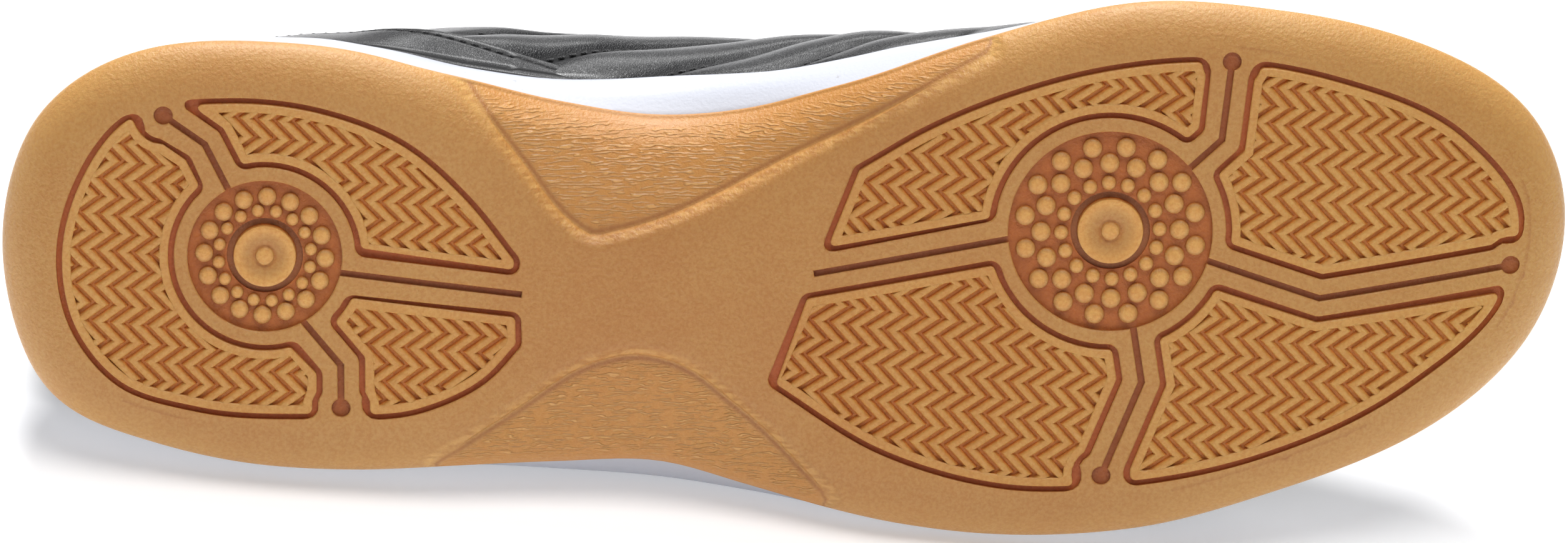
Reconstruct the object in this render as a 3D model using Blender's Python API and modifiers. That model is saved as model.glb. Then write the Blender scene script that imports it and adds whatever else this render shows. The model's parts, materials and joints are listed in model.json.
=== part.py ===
"""Left indoor court shoe with a gum outsole, lying on its outer side.

Every piece is worked out in the shoe's own frame, in millimetres: x runs from the back of
the heel to the toe, z runs up from the ground, and s runs across the shoe, positive to the
inner (big toe) side. A left shoe that points along +x has its inner side at -y, so y = -s.
At the end the pieces hang on one empty that lays the shoe on its outer side, in metres.
"""

import math

import bmesh
import bpy
import numpy as np
from mathutils import Matrix, Vector
from mathutils.bvhtree import BVHTree

MM = 0.001
MERGE = 0.0001

# Whole shoe
SOLE_LENGTH = 290.0
RUNGS = 32
AROUND = 2 * RUNGS
GAP = 0.3

# Gum outsole
GUM_THICKNESS = 7.0
EDGE_ROUND = 7.0
EDGE_RISE = 5.6
EDGE_STEPS = 4
TOP_INSET = 1.0
TOE_SPRING = 11.0
SPRING_START = 205.0
HEEL_BEVEL = 2.5
HEEL_BEVEL_LENGTH = 24.0
ARCH_X = 120.0
ARCH_REACH = 46.0
ARCH_CENTRE = 0.8
ARCH_INNER_RISE, ARCH_INNER_BREADTH = 6.0, 25.0
ARCH_OUTER_RISE, ARCH_OUTER_BREADTH = 3.5, 40.0

# Midsole tray
RIM_DEPTH = 5.0
RIM_WIDTH = 2.0
RIM_CHAMFER = 0.9
WALL_LEVEL = 0.45

# Upper, insole and tongue
WALL = 2.0
COLLAR_PADDING = 6.0
COLLAR_PADDING_DEPTH = 0.34
COLLAR_PADDING_FRONT = 112.0
COLLAR_PADDING_FADE = 0.25
COLLAR_PADDING_TURN = math.radians(112.0)
SKIRT_GAP = 0.4
INSOLE_THICKNESS = 4.0
INSOLE_GAP = 0.5
TONGUE_THICKNESS = 4.0
OVERLAY_THICKNESS = 1.2
EYESTAY_WIDTH = 15.0
EYESTAY_BACK = 118.0
COUNTER_REACH = 108.0
COUNTER_LOW, COUNTER_FRONT, COUNTER_BACK = 0.03, 0.07, 0.62
COUNTER_BOW = 0.7
COUNTER_ROWS = 5

# Laces
EYELET_PAIRS = 6
EYELET_FIRST_X, EYELET_LAST_X = 186.0, 117.0
EYELET_IN = 6.5
EYELET_SEARCH = 400
LACE_HALF_WIDTH = 2.6
LACE_HALF_THICKNESS = 0.7
LACE_SIDES = 6
LACE_STEPS = 8
LACE_CLEARANCE = 2.0
LACE_OVERRUN = 0.8

# Half breadths of the sole at stations along its length. Columns: station x, then for the gum
# outline, the midsole's widest line and the bite line the inner and the outer side, and the
# height of the midsole's rim above the ground without toe spring.
SOLE_STATIONS = (
    (0.0, -0.5, -0.5, -0.5, -0.5, -0.5, -0.5, 28.0),
    (7.5, 24.8, -26.8, 23.4, -26.2, 20.2, -23.3, 27.8),
    (28.0, 37.2, -37.6, 34.8, -37.2, 30.0, -33.0, 27.0),
    (49.0, 38.4, -42.0, 36.0, -41.6, 31.6, -36.8, 26.2),
    (65.0, 36.7, -42.8, 35.0, -42.9, 31.4, -38.0, 25.6),
    (84.0, 31.6, -42.2, 31.0, -44.0, 27.8, -39.4, 25.0),
    (103.0, 26.1, -42.0, 27.8, -45.4, 25.4, -40.9, 24.3),
    (122.0, 23.3, -42.3, 27.0, -47.0, 25.4, -42.5, 23.6),
    (138.0, 24.8, -46.6, 28.7, -49.4, 26.7, -44.5, 22.8),
    (153.7, 29.4, -50.6, 31.4, -52.0, 28.9, -46.8, 22.0),
    (181.5, 39.0, -55.0, 38.0, -54.8, 33.6, -49.0, 20.8),
    (209.0, 45.7, -54.1, 43.6, -53.4, 38.2, -47.2, 20.0),
    (237.0, 43.9, -47.0, 42.0, -46.4, 36.8, -40.6, 19.6),
    (265.0, 36.0, -35.8, 34.4, -35.2, 30.0, -30.2, 19.4),
    (282.0, 24.4, -21.4, 23.4, -21.0, 20.0, -17.8, 19.4),
    (290.0, 2.5, 2.5, 2.5, 2.5, 2.5, 2.5, 19.4),
)
GUM_ENDS = (0.0, 290.0)
WALL_ENDS = (0.8, 289.2)
BITE_ENDS = (6.0, 283.5)

# The upper's top line and the way its wall leaves the bite line and meets the top line.
# Columns: station x of the bite line, side, top line x, s and z, outward lean at the bite line
# and downward slope at the top line in degrees, and the shares of the chord over which each acts.
INNER, OUTER = 1, -1
UPPER_STATIONS = (
    (0.0, INNER, 9.5, -1.5, 79.0, 10.0, 82.0, 0.36, 0.30),
    (20.0, INNER, 22.0, 17.5, 74.0, 9.0, 80.0, 0.35, 0.30),
    (60.0, INNER, 58.0, 24.0, 65.0, 14.0, 76.0, 0.35, 0.30),
    (95.0, INNER, 91.0, 25.5, 68.0, 25.0, 72.0, 0.36, 0.32),
    (122.0, INNER, 111.0, 20.0, 82.0, 15.5, 66.0, 0.36, 0.34),
    (160.0, INNER, 141.0, 17.5, 79.5, 11.0, 56.0, 0.34, 0.33),
    (183.0, INNER, 160.0, 15.5, 74.0, 10.0, 50.0, 0.30, 0.34),
    (209.0, INNER, 178.0, 12.5, 67.0, 8.0, 40.0, 0.28, 0.38),
    (250.0, INNER, 194.0, 7.0, 63.0, 8.0, 29.0, 0.22, 0.46),
    (290.0, INNER, 198.0, 0.0, 61.5, 8.0, 22.0, 0.19, 0.50),
    (250.0, OUTER, 194.0, -7.0, 62.5, 8.0, 29.0, 0.22, 0.46),
    (209.0, OUTER, 178.0, -13.5, 65.5, 8.0, 38.0, 0.30, 0.40),
    (160.0, OUTER, 142.0, -18.5, 77.0, 6.0, 44.0, 0.32, 0.38),
    (122.0, OUTER, 113.0, -22.5, 79.5, 4.0, 58.0, 0.34, 0.36),
    (95.0, OUTER, 93.0, -28.0, 66.5, 2.0, 70.0, 0.35, 0.33),
    (60.0, OUTER, 60.0, -28.0, 63.0, 2.0, 78.0, 0.35, 0.30),
    (20.0, OUTER, 23.0, -20.5, 73.5, 7.0, 80.0, 0.35, 0.30),
)
ROWS_BELOW_STAY, ROWS_ABOVE_STAY = 9, 3
TOP_NORMAL_PULL = 30.0

# Padded tongue. Columns: x, s of its middle, half breadth, height of its crown and of its edges.
TONGUE_STATIONS = (
    (207.0, 0.0, 9.0, 53.5, 51.5),
    (194.0, 0.0, 11.0, 58.5, 54.5),
    (178.0, -0.5, 15.5, 66.0, 58.5),
    (160.0, -0.5, 18.5, 74.5, 64.0),
    (141.0, -0.5, 20.5, 82.5, 68.5),
    (122.0, -1.0, 19.5, 89.5, 72.0),
    (106.0, -1.5, 18.0, 96.0, 84.0),
    (98.0, -1.5, 18.0, 99.5, 89.0),
    (94.0, -1.5, 14.0, 101.2, 95.0),
)
TONGUE_ROWS = 14
TONGUE_ACROSS = 8

# Tread. A field is the outline that holds its panels, a pivot is a round recess with a button,
# and a spoke is a thin line that runs from the pivot between two panels, often to a round dot.
GROOVE_WIDTH, GROOVE_DEPTH = 1.2, 1.5
PIVOT_LAND, PIVOT_DEPTH = 2.5, 1.3
SPOKE_HALF_WIDTH, SPOKE_DEPTH = 0.75, 1.0
SPOKE_LAND, SPOKE_RUN_OUT = 3.4, 12.0
DOT_RADIUS = 1.9
DOT_LAND = 4.4
FOREFOOT_FIELD = (
    (157.8, 15.9), (171.5, 23.9), (189.0, 31.0), (204.0, 34.9), (222.0, 36.6), (247.0, 32.4), (271.0, 20.8),
    (281.8, 6.0), (278.2, -11.4), (261.5, -26.8), (232.3, -40.2), (209.0, -44.8), (186.0, -45.4),
    (162.5, -38.7), (141.4, -25.6),
)
HEEL_FIELD = (
    (96.0, -1.5), (86.8, 10.3), (75.1, 20.7), (60.6, 26.7), (42.0, 28.9), (23.4, 25.7), (13.2, 11.5),
    (10.3, -1.6), (12.8, -15.0), (21.3, -25.6), (36.0, -30.6), (57.7, -32.0), (78.0, -30.8),
    (90.0, -25.0), (96.3, -18.2),
)
# Columns: pivot x, pivot s, recess radius, button radius.
FOREFOOT_PIVOT = (205.1, 3.7, 18.9, 6.1)
HEEL_PIVOT = (48.9, -1.0, 14.3, 5.8)
# Each spoke: its points, and whether it ends in a dot or runs out at the field's edge.
FOREFOOT_SPOKES = (
    (((218.5, 14.5), (225.6, 20.9), (227.4, 35.6)), True),
    (((221.5, -1.4), (243.9, -9.5), (279.5, -4.6)), True),
    (((209.2, -13.0), (211.0, -24.9), (203.6, -42.7)), True),
    (((188.0, 2.6), (150.2, -4.4)), False),
)
HEEL_SPOKES = (
    (((42.6, 11.0), (38.0, 20.2), (30.4, 25.6)), True),
    (((55.8, -13.2), (62.8, -21.7), (62.8, -29.8)), True),
    (((61.8, -4.0), (96.5, -8.4)), False),
)
DISC_SIDES = 28
FIELD_SPACING = 8.0
# The waist is stepped back either side of a smooth bridge: the edges of that bridge.
WAIST_DEPTH = 1.1
WAIST_INNER = (
    (84.0, 34.0), (97.0, 16.5), (106.0, 5.5), (109.5, 3.2), (114.0, 4.0), (150.0, 20.0), (183.0, 37.5),
)
WAIST_OUTER = (
    (80.0, -41.0), (94.4, -31.8), (110.4, -22.1), (116.5, -20.8), (124.0, -22.1), (136.0, -30.6), (153.0, -47.5),
)
WAIST_BEYOND = 70.0

# Finish of each piece: colour, roughness.
FINISH = {
    "outsole": ((0.58, 0.34, 0.12), 0.5),
    "midsole": ((0.85, 0.86, 0.88), 0.55),
    "insole": ((0.05, 0.05, 0.055), 0.9),
    "upper": ((0.035, 0.036, 0.04), 0.45),
    "tongue": ((0.035, 0.036, 0.04), 0.5),
    "eyestay": ((0.03, 0.031, 0.034), 0.42),
    "heel_counter": ((0.03, 0.031, 0.034), 0.42),
    "laces": ((0.02, 0.02, 0.022), 0.85),
}
# Densities, in grams per cubic centimetre, that place the centre of mass when the shoe is laid down.
DENSITY = {"outsole": 1.1, "midsole": 0.25, "insole": 0.3, "upper": 0.9, "tongue": 0.4}
OVERLAY_DENSITY = 0.9
# The least share of a hull face's normal that points to the outer side, on a face to lie on.
OUTER_FACING = 0.8


# Smooth curves through table rows

def hermite(knots, values, at, period=None):
    """Values of a smooth curve through the rows of values at the knots; a period closes it."""
    knots = np.asarray(knots, float)
    values = np.asarray(values, float).reshape(len(knots), -1)
    if period:
        knots = np.concatenate([knots[-2:] - period, knots, knots[:2] + period])
        values = np.concatenate([values[-2:], values, values[:2]])
    gaps = np.diff(knots)[:, None]
    chords = np.diff(values, axis=0) / gaps
    slopes = np.concatenate([chords[:1], chords[:-1], chords[-1:]])
    slopes[1:-1] = (gaps[1:] * chords[:-1] + gaps[:-1] * chords[1:]) / (gaps[1:] + gaps[:-1])
    at = np.asarray(at, float)
    row = np.clip(np.searchsorted(knots, at, side="right") - 1, 0, len(knots) - 2)
    gap = gaps[row]
    t = (at[:, None] - knots[row][:, None]) / gap
    return (
        (2 * t**3 - 3 * t**2 + 1) * values[row]
        + (t**3 - 2 * t**2 + t) * gap * slopes[row]
        + (3 * t**2 - 2 * t**3) * values[row + 1]
        + (t**3 - t**2) * gap * slopes[row + 1]
    )


def turn_angle(station, side=INNER):
    """Where a station lies on a loop that runs heel, inner side, toe, outer side."""
    angle = math.acos(1 - 2 * station / SOLE_LENGTH)
    return angle if side == INNER else 2 * math.pi - angle


def smooth_path(points, spacing):
    """A smooth open path through plan points, sampled about one spacing apart."""
    points = np.asarray(points, float)
    knots = np.concatenate([[0], np.cumsum(np.linalg.norm(np.diff(points, axis=0), axis=1))])
    count = max(2, round(knots[-1] / spacing)) + 1
    return hermite(knots, points, np.linspace(0, knots[-1], count))


# The sole's loops and heights

def sole_loop(column, ends, theta):
    """Plan points (x, s) of the loop whose inner side is in that table column."""
    rows = np.array(SOLE_STATIONS)
    angles = [turn_angle(x) for x in rows[:, 0]]
    back = [turn_angle(x, OUTER) for x in rows[-2:0:-1, 0]]
    across = np.concatenate([rows[:, column], rows[-2:0:-1, column + 1]])
    s = hermite(angles + back, across, theta, 2 * math.pi)[:, 0]
    x = ends[0] + (ends[1] - ends[0]) * (1 - np.cos(theta)) / 2
    return np.stack([x, s], axis=1)


def outward(loop):
    """Unit plan normals of a closed loop that runs heel, inner side, toe, outer side."""
    along = np.roll(loop, -1, axis=0) - np.roll(loop, 1, axis=0)
    normal = np.stack([-along[:, 1], along[:, 0]], axis=1)
    return normal / np.linalg.norm(normal, axis=1)[:, None]


def grown(loop, distance):
    return loop + outward(loop) * distance


def end_lift(x):
    """Toe spring and heel bevel: what the whole sole rises by towards its two ends."""
    toe = TOE_SPRING * np.maximum(0, (x - SPRING_START) / (SOLE_LENGTH - SPRING_START)) ** 2
    heel = HEEL_BEVEL * np.maximum(0, 1 - x / HEEL_BEVEL_LENGTH) ** 2
    return toe + heel


def lift(x, s):
    """What the underside rises by above the ground: its two ends, and the arch at the waist."""
    along = np.maximum(0, 1 - ((x - ARCH_X) / ARCH_REACH) ** 2) ** 2
    inner = ARCH_INNER_RISE * (np.maximum(s, 0) / ARCH_INNER_BREADTH) ** 2
    outer = ARCH_OUTER_RISE * (np.maximum(-s, 0) / ARCH_OUTER_BREADTH) ** 2
    return end_lift(x) + along * (ARCH_CENTRE + inner + outer)


def rim_height(theta, x):
    rows = np.array(SOLE_STATIONS)
    angles = [turn_angle(station) for station in rows[:, 0]]
    folded = np.where(theta > math.pi, 2 * math.pi - theta, theta)
    return hermite(angles, rows[:, -1], folded)[:, 0] + end_lift(x)


def spatial(plan, z):
    """Points in the shoe's frame from plan points (x, s) and heights."""
    return np.stack([plan[:, 0], -plan[:, 1], np.broadcast_to(z, len(plan))], axis=1)


THETA = np.linspace(0, 2 * math.pi, AROUND, endpoint=False)
GUM = sole_loop(1, GUM_ENDS, THETA)
SIDE = sole_loop(3, WALL_ENDS, THETA)
BITE = sole_loop(5, BITE_ENDS, THETA)


# The upper's surface

def upper_frame(theta):
    """At each turn angle the bite line point, the top line point and the wall's two directions."""
    rows = np.array(UPPER_STATIONS)
    knots = [turn_angle(x, side) for x, side in rows[:, :2]]
    table = hermite(knots, rows[:, 2:], theta, 2 * math.pi)
    top, (lean, slope, rise, crown) = table[:, :3], table[:, 3:].T
    bite = sole_loop(5, BITE_ENDS, theta)
    step = 0.01
    turns = [(theta + d) % (2 * math.pi) for d in (step, -step)]
    after, before = (hermite(knots, rows[:, 2:4], turn, 2 * math.pi) for turn in turns)
    along = after - before
    top_out = np.stack([-along[:, 1], along[:, 0]], axis=1)
    top_out *= TOP_NORMAL_PULL / np.linalg.norm(top_out, axis=1)[:, None]
    top_out += bite - top[:, :2]
    top_out /= np.linalg.norm(top_out, axis=1)[:, None]
    after, before = (sole_loop(5, BITE_ENDS, turn) for turn in turns)
    along = after - before
    bite_out = np.stack([-along[:, 1], along[:, 0]], axis=1)
    bite_out /= np.linalg.norm(bite_out, axis=1)[:, None]
    low = np.column_stack([bite - bite_out * SKIRT_GAP, rim_height(theta, bite[:, 0])])
    chord = np.linalg.norm(top - low, axis=1)
    lean, slope = np.radians(lean), np.radians(slope)
    leave = np.column_stack([bite_out * np.sin(lean)[:, None], np.cos(lean)]) * (rise * chord)[:, None]
    meet = np.column_stack([top_out * np.cos(slope)[:, None], -np.sin(slope)]) * (crown * chord)[:, None]
    return low, low + leave, top + meet, top, chord


def upper_surface(theta, t):
    """Points of the upper's outer face at turn angles theta and heights t, from 0 at the rim to 1."""
    low, leave, meet, top, _ = (a[:, None] for a in upper_frame(np.atleast_1d(theta)))
    t = np.broadcast_to(np.asarray(t, float), (len(low), np.shape(t)[-1]))[:, :, None]
    made = (1 - t) ** 3 * low + 3 * t * (1 - t) ** 2 * leave + 3 * t**2 * (1 - t) * meet + t**3 * top
    made[:, :, 1] *= -1
    return made


def upper_normals(theta, t):
    """Outward unit normals of the upper's outer face."""
    step = 0.004
    t = np.clip(np.broadcast_to(t, (len(theta), np.shape(t)[-1])), step, 1 - step)
    around = upper_surface((theta + step) % (2 * math.pi), t) - upper_surface((theta - step) % (2 * math.pi), t)
    up = upper_surface(theta, t + step) - upper_surface(theta, t - step)
    normal = np.cross(around, up)
    return normal / np.linalg.norm(normal, axis=2)[:, :, None]


def chord_lengths(theta):
    return upper_frame(theta)[4]


# Meshes

def loft(rings, closed=True, caps=True):
    """Faces between rings of points; on closed rings a ladder of rungs fills the first and last."""
    bm = bmesh.new()
    rows = [[bm.verts.new(point) for point in ring] for ring in rings]
    count = len(rows[0])
    for low, high in zip(rows, rows[1:]):
        for k in range(count if closed else count - 1):
            after = (k + 1) % count
            bm.faces.new((low[k], low[after], high[after], high[k]))
    if closed and caps:
        for row in (rows[0], rows[-1]):
            for k in range(count // 2):
                corners = dict.fromkeys((row[k], row[k + 1], row[-k - 1], row[-k % count]))
                bm.faces.new(tuple(corners))
        bmesh.ops.recalc_face_normals(bm, faces=bm.faces)
    return mesh_of(bm)


def mesh_of(bm):
    mesh = bpy.data.meshes.new("work")
    bm.to_mesh(mesh)
    bm.free()
    return mesh


def triangulated(mesh):
    bm = bmesh.new()
    bm.from_mesh(mesh)
    bmesh.ops.triangulate(bm, faces=bm.faces)
    return mesh_of(bm)


def evaluated(mesh, add_modifier):
    """A new mesh: the old one with one modifier on it."""
    obj = bpy.data.objects.new("work", mesh)
    bpy.context.scene.collection.objects.link(obj)
    add_modifier(obj)
    made = bpy.data.meshes.new_from_object(obj.evaluated_get(bpy.context.evaluated_depsgraph_get()))
    bpy.data.objects.remove(obj)
    return made


def combined(mesh, other, operation):
    """A new mesh: the Boolean of two closed meshes."""
    cutter = bpy.data.objects.new("cutter", other)
    bpy.context.scene.collection.objects.link(cutter)

    def boolean(obj):
        modifier = obj.modifiers.new("boolean", "BOOLEAN")
        modifier.operation = operation
        modifier.object = cutter

    made = evaluated(mesh, boolean)
    bpy.data.objects.remove(cutter)
    return made


def prism(plan, low, high):
    """A closed upright solid over plan points (x, s)."""
    bm = bmesh.new()
    face = bm.faces.new([bm.verts.new((x, -s, low)) for x, s in plan])
    top = bmesh.ops.extrude_face_region(bm, geom=[face])["geom"]
    bmesh.ops.translate(bm, verts=[v for v in top if isinstance(v, bmesh.types.BMVert)], vec=(0, 0, high - low))
    bmesh.ops.recalc_face_normals(bm, faces=bm.faces)
    return mesh_of(bm)


def disc(centre, radius):
    turns = np.linspace(0, 2 * math.pi, DISC_SIDES, endpoint=False)
    return np.stack([centre[0] + radius * np.cos(turns), centre[1] + radius * np.sin(turns)], axis=1)


def shrunk(plan, distance):
    """A closed plan outline moved inwards, its corners mitred."""
    plan = np.asarray(plan, float)
    along = np.roll(plan, -1, axis=0) - plan
    along /= np.linalg.norm(along, axis=1)[:, None]
    area = np.sum(plan[:, 0] * np.roll(plan[:, 1], -1) - np.roll(plan[:, 0], -1) * plan[:, 1])
    inward = np.stack([-along[:, 1], along[:, 0]], axis=1) * np.sign(area)
    before = np.roll(inward, 1, axis=0)
    mitre = (before + inward) / (1 + np.sum(before * inward, axis=1))[:, None]
    return plan + mitre * distance


def strip(points, half_width):
    """The outline of a bent line of some width, its corners mitred."""
    points = np.asarray(points, float)
    along = np.diff(points, axis=0)
    along /= np.linalg.norm(along, axis=1)[:, None]
    side = np.stack([-along[:, 1], along[:, 0]], axis=1)
    before, after = np.concatenate([side[:1], side]), np.concatenate([side, side[-1:]])
    mitre = (before + after) / (1 + np.sum(before * after, axis=1))[:, None]
    return np.concatenate([points + mitre * half_width, (points - mitre * half_width)[::-1]])


# Outsole

CUT_BELOW = -1.0


def run_out(start, end):
    """The point where a straight line ends once it has run on past its end."""
    along = np.subtract(end, start)
    return tuple(end + along * SPOKE_RUN_OUT / np.linalg.norm(along))


def panels(field, pivot, spokes, shrink, low, high):
    """The tread panels of a field: its outline less the pivot and the spokes with their lands."""
    outline = shrunk(smooth_path(field, FIELD_SPACING), shrink)
    made = prism(outline, low, high)
    holes = [disc(pivot, pivot[2] + PIVOT_LAND + shrink)]
    for points, dotted in spokes:
        if dotted:
            holes.append(disc(points[-1], DOT_LAND + shrink))
            holes.append(strip(points, SPOKE_LAND + shrink))
        else:
            holes.append(strip(points + (run_out(*points),), SPOKE_LAND + shrink))
    for hole in holes:
        made = combined(made, prism(hole, low - 1, high + 1), "DIFFERENCE")
    return made


def tread_cutters(field, pivot, spokes):
    """What is cut from one tread field: panel grooves, the pivot's recess, the spokes and dots."""
    whole = panels(field, pivot, spokes, 0.0, CUT_BELOW, GROOVE_DEPTH)
    kept = panels(field, pivot, spokes, GROOVE_WIDTH, CUT_BELOW - 2, GROOVE_DEPTH + 2)
    recess = prism(disc(pivot, pivot[2]), CUT_BELOW, PIVOT_DEPTH)
    button = prism(disc(pivot, pivot[3]), CUT_BELOW - 2, PIVOT_DEPTH + 2)
    cutters = [combined(whole, kept, "DIFFERENCE"), combined(recess, button, "DIFFERENCE")]
    for points, dotted in spokes:
        cutters.append(prism(strip(points, SPOKE_HALF_WIDTH), CUT_BELOW, SPOKE_DEPTH))
        if dotted:
            cutters.append(prism(disc(points[-1], DOT_RADIUS), CUT_BELOW, SPOKE_DEPTH))
    return cutters


def waist_cutter(edge):
    """The step beside the waist's bridge, from the bridge's edge out past the sole's side."""
    path = smooth_path(edge, FIELD_SPACING)
    beyond = math.copysign(WAIST_BEYOND, edge[0][1])
    return prism(np.concatenate([path, [(edge[-1][0], beyond), (edge[0][0], beyond)]]), CUT_BELOW, WAIST_DEPTH)


def outsole():
    """The gum outsole: cut flat, then raised at the toe, the heel and the arch."""
    rings = []
    for turn in np.linspace(0, math.pi / 2, EDGE_STEPS + 1):
        plan = grown(GUM, -EDGE_ROUND * (1 - math.sin(turn)))
        rings.append(spatial(plan, EDGE_RISE * (1 - math.cos(turn))))
    rings.append(spatial(grown(GUM, -TOP_INSET), GUM_THICKNESS))
    mesh = loft(rings)
    cutters = [waist_cutter(WAIST_INNER), waist_cutter(WAIST_OUTER)]
    cutters += tread_cutters(FOREFOOT_FIELD, FOREFOOT_PIVOT, FOREFOOT_SPOKES)
    cutters += tread_cutters(HEEL_FIELD, HEEL_PIVOT, HEEL_SPOKES)
    for cutter in cutters:
        mesh = combined(mesh, cutter, "DIFFERENCE")
    bm = bmesh.new()
    bm.from_mesh(mesh)
    bmesh.ops.triangulate(bm, faces=bm.faces)
    for v in bm.verts:
        v.co.z += float(lift(np.array(v.co.x), np.array(-v.co.y)))
    return mesh_of(bm)


# Midsole and insole

def midsole():
    """The white tray between gum and upper: a wall with a rim around a sunken floor."""
    base = grown(GUM, -TOP_INSET)
    bottom = GUM_THICKNESS + GAP + lift(base[:, 0], base[:, 1])
    rim = rim_height(THETA, BITE[:, 0])
    level = bottom + WALL_LEVEL * (rim - bottom)
    inner = grown(BITE, GAP)
    return loft((
        spatial(base, bottom),
        spatial(SIDE, level),
        spatial(grown(BITE, RIM_WIDTH + RIM_CHAMFER), rim - RIM_CHAMFER),
        spatial(grown(BITE, RIM_WIDTH), rim),
        spatial(inner, rim),
        spatial(inner, rim - RIM_DEPTH),
    ))


def insole():
    """The footbed that lies in the tray, inside the upper's wall."""
    floor = rim_height(THETA, BITE[:, 0]) - RIM_DEPTH + GAP
    plan = grown(BITE, -SKIRT_GAP - WALL - INSOLE_GAP)
    return loft((spatial(plan, floor), spatial(plan, floor + INSOLE_THICKNESS)))


# Upper and its overlays

def thickened(mesh, thickness, offset, group=None, least=1.0):
    """An open surface made a closed wall; the group's weights run from the least share to all of it."""
    def solidify(obj):
        modifier = obj.modifiers.new("wall", "SOLIDIFY")
        modifier.thickness = thickness
        modifier.offset = offset
        if group is not None:
            obj.vertex_groups.new(name="padding")
            for k, weight in enumerate(group):
                obj.vertex_groups["padding"].add([k], float(weight), "REPLACE")
            modifier.vertex_group = "padding"
            modifier.thickness_vertex_group = least
    return evaluated(mesh, solidify)


def padding_share(theta, t):
    """How much of the collar's foam is at each point: all of it along the ankle, none at the throat."""
    forward = np.where(theta > math.pi, 2 * math.pi - theta, theta) / turn_angle(COLLAR_PADDING_FRONT)
    ankle = np.clip((1 - forward) / COLLAR_PADDING_FADE, 0, 1)[:, None]
    high = np.clip((t - 1 + COLLAR_PADDING_DEPTH) / COLLAR_PADDING_DEPTH, 0, 1)
    return ankle * np.sin(high * COLLAR_PADDING_TURN)


def row_heights(theta):
    """Heights of the wall's rows of points: some below the lace stay's lower edge, some above it."""
    stay = 1 - EYESTAY_WIDTH / chord_lengths(theta)[:, None]
    below = stay * np.linspace(0, 1, ROWS_BELOW_STAY + 1)
    above = stay + (1 - stay) * np.linspace(0, 1, ROWS_ABOVE_STAY + 1)
    return np.concatenate([below, above[:, 1:]], axis=1)


def upper():
    """The hollow upper, open at the collar and throat above and over the tray below."""
    t = row_heights(THETA)
    outer = upper_surface(THETA, t)
    skirt = outer[:, 0] - np.array([0, 0, RIM_DEPTH - GAP])
    rings = [skirt] + list(outer.transpose(1, 0, 2))
    weights = np.concatenate([np.zeros(AROUND), padding_share(THETA, t).T.ravel()])
    open_wall = loft(rings, caps=False)
    return thickened(open_wall, COLLAR_PADDING, -1, weights, WALL / COLLAR_PADDING)


def overlay(theta, t):
    """A thin panel on the upper through rows of heights at each turn angle."""
    points = upper_surface(theta, t) + upper_normals(theta, t) * GAP
    return thickened(loft(list(points.transpose(1, 0, 2)), closed=False), OVERLAY_THICKNESS, 1)


def eyestay():
    """The lace stay: a band around the throat from one top eyelet to the other."""
    theta = THETA[abs(THETA - math.pi) < math.pi - turn_angle(EYESTAY_BACK)]
    return overlay(theta, row_heights(theta)[:, ROWS_BELOW_STAY:])


def heel_counter():
    """The panel around the back of the heel, lower towards the front."""
    reach = turn_angle(COUNTER_REACH)
    theta = np.concatenate([THETA[THETA > math.pi] - 2 * math.pi, THETA[THETA < math.pi]])
    theta = theta[abs(theta) < reach]
    high = COUNTER_FRONT + (COUNTER_BACK - COUNTER_FRONT) * np.cos(theta / reach * math.pi / 2) ** COUNTER_BOW
    rows = np.linspace(0, 1, COUNTER_ROWS + 1)
    return overlay(theta % (2 * math.pi), COUNTER_LOW + np.outer(high - COUNTER_LOW, rows))


# Tongue and laces

def tongue_section(x):
    """Middle, half breadth, crown and edge heights of the tongue at each x."""
    rows = np.array(TONGUE_STATIONS)[::-1]
    return hermite(rows[:, 0], rows[:, 1:], np.atleast_1d(x)).T


def tongue_top(x, across):
    """A point of the tongue's upper face; across runs from -1 at the outer edge to 1."""
    middle, half, crown, edge = (float(v[0]) for v in tongue_section(x))
    return np.array([x, -(middle + across * half), crown - (crown - edge) * across**2])


def tongue():
    """The padded tongue under the throat, standing a little above the collar."""
    ends = TONGUE_STATIONS[0][0], TONGUE_STATIONS[-1][0]
    rows = []
    for x in np.linspace(*ends, TONGUE_ROWS + 1):
        rows.append([tongue_top(x, a) for a in np.linspace(-1, 1, TONGUE_ACROSS + 1)])
    mesh = loft(rows, closed=False)
    return thickened(facing_up(mesh), TONGUE_THICKNESS, -1)


def facing_up(mesh):
    if sum(face.normal.z for face in mesh.polygons) < 0:
        mesh.flip_normals()
    return mesh


def throat_eyelet(x, side):
    """A plan point on the eyestay one eyelet's distance from the throat's edge."""
    search = np.linspace(0, math.pi, EYELET_SEARCH)
    theta = search if side == INNER else 2 * math.pi - search
    tops = upper_surface(theta, np.array([1.0]))[:, 0, 0]
    found = theta[np.argmin(abs(tops - x))][None]
    t = np.array([1 - EYELET_IN / chord_lengths(found)[0]])
    return upper_surface(found, t)[0, 0, :2]


def height_over(meshes):
    """A function that gives how high the meshes stand at a plan point."""
    bm = bmesh.new()
    for mesh in meshes:
        bm.from_mesh(mesh)
    tree = BVHTree.FromBMesh(bm)
    bm.free()

    def height(spot):
        return tree.ray_cast(Vector((*spot, SOLE_LENGTH)), Vector((0, 0, -1)))[0].z

    return height


def taut(shares, heights):
    """The heights of a line pulled tight over points: no point lies below a straight run past it."""
    pulled = list(heights)
    for k in range(len(shares)):
        for i in range(k):
            for j in range(k + 1, len(shares)):
                share = (shares[k] - shares[i]) / (shares[j] - shares[i])
                pulled[k] = max(pulled[k], heights[i] + share * (heights[j] - heights[i]))
    return pulled


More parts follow.
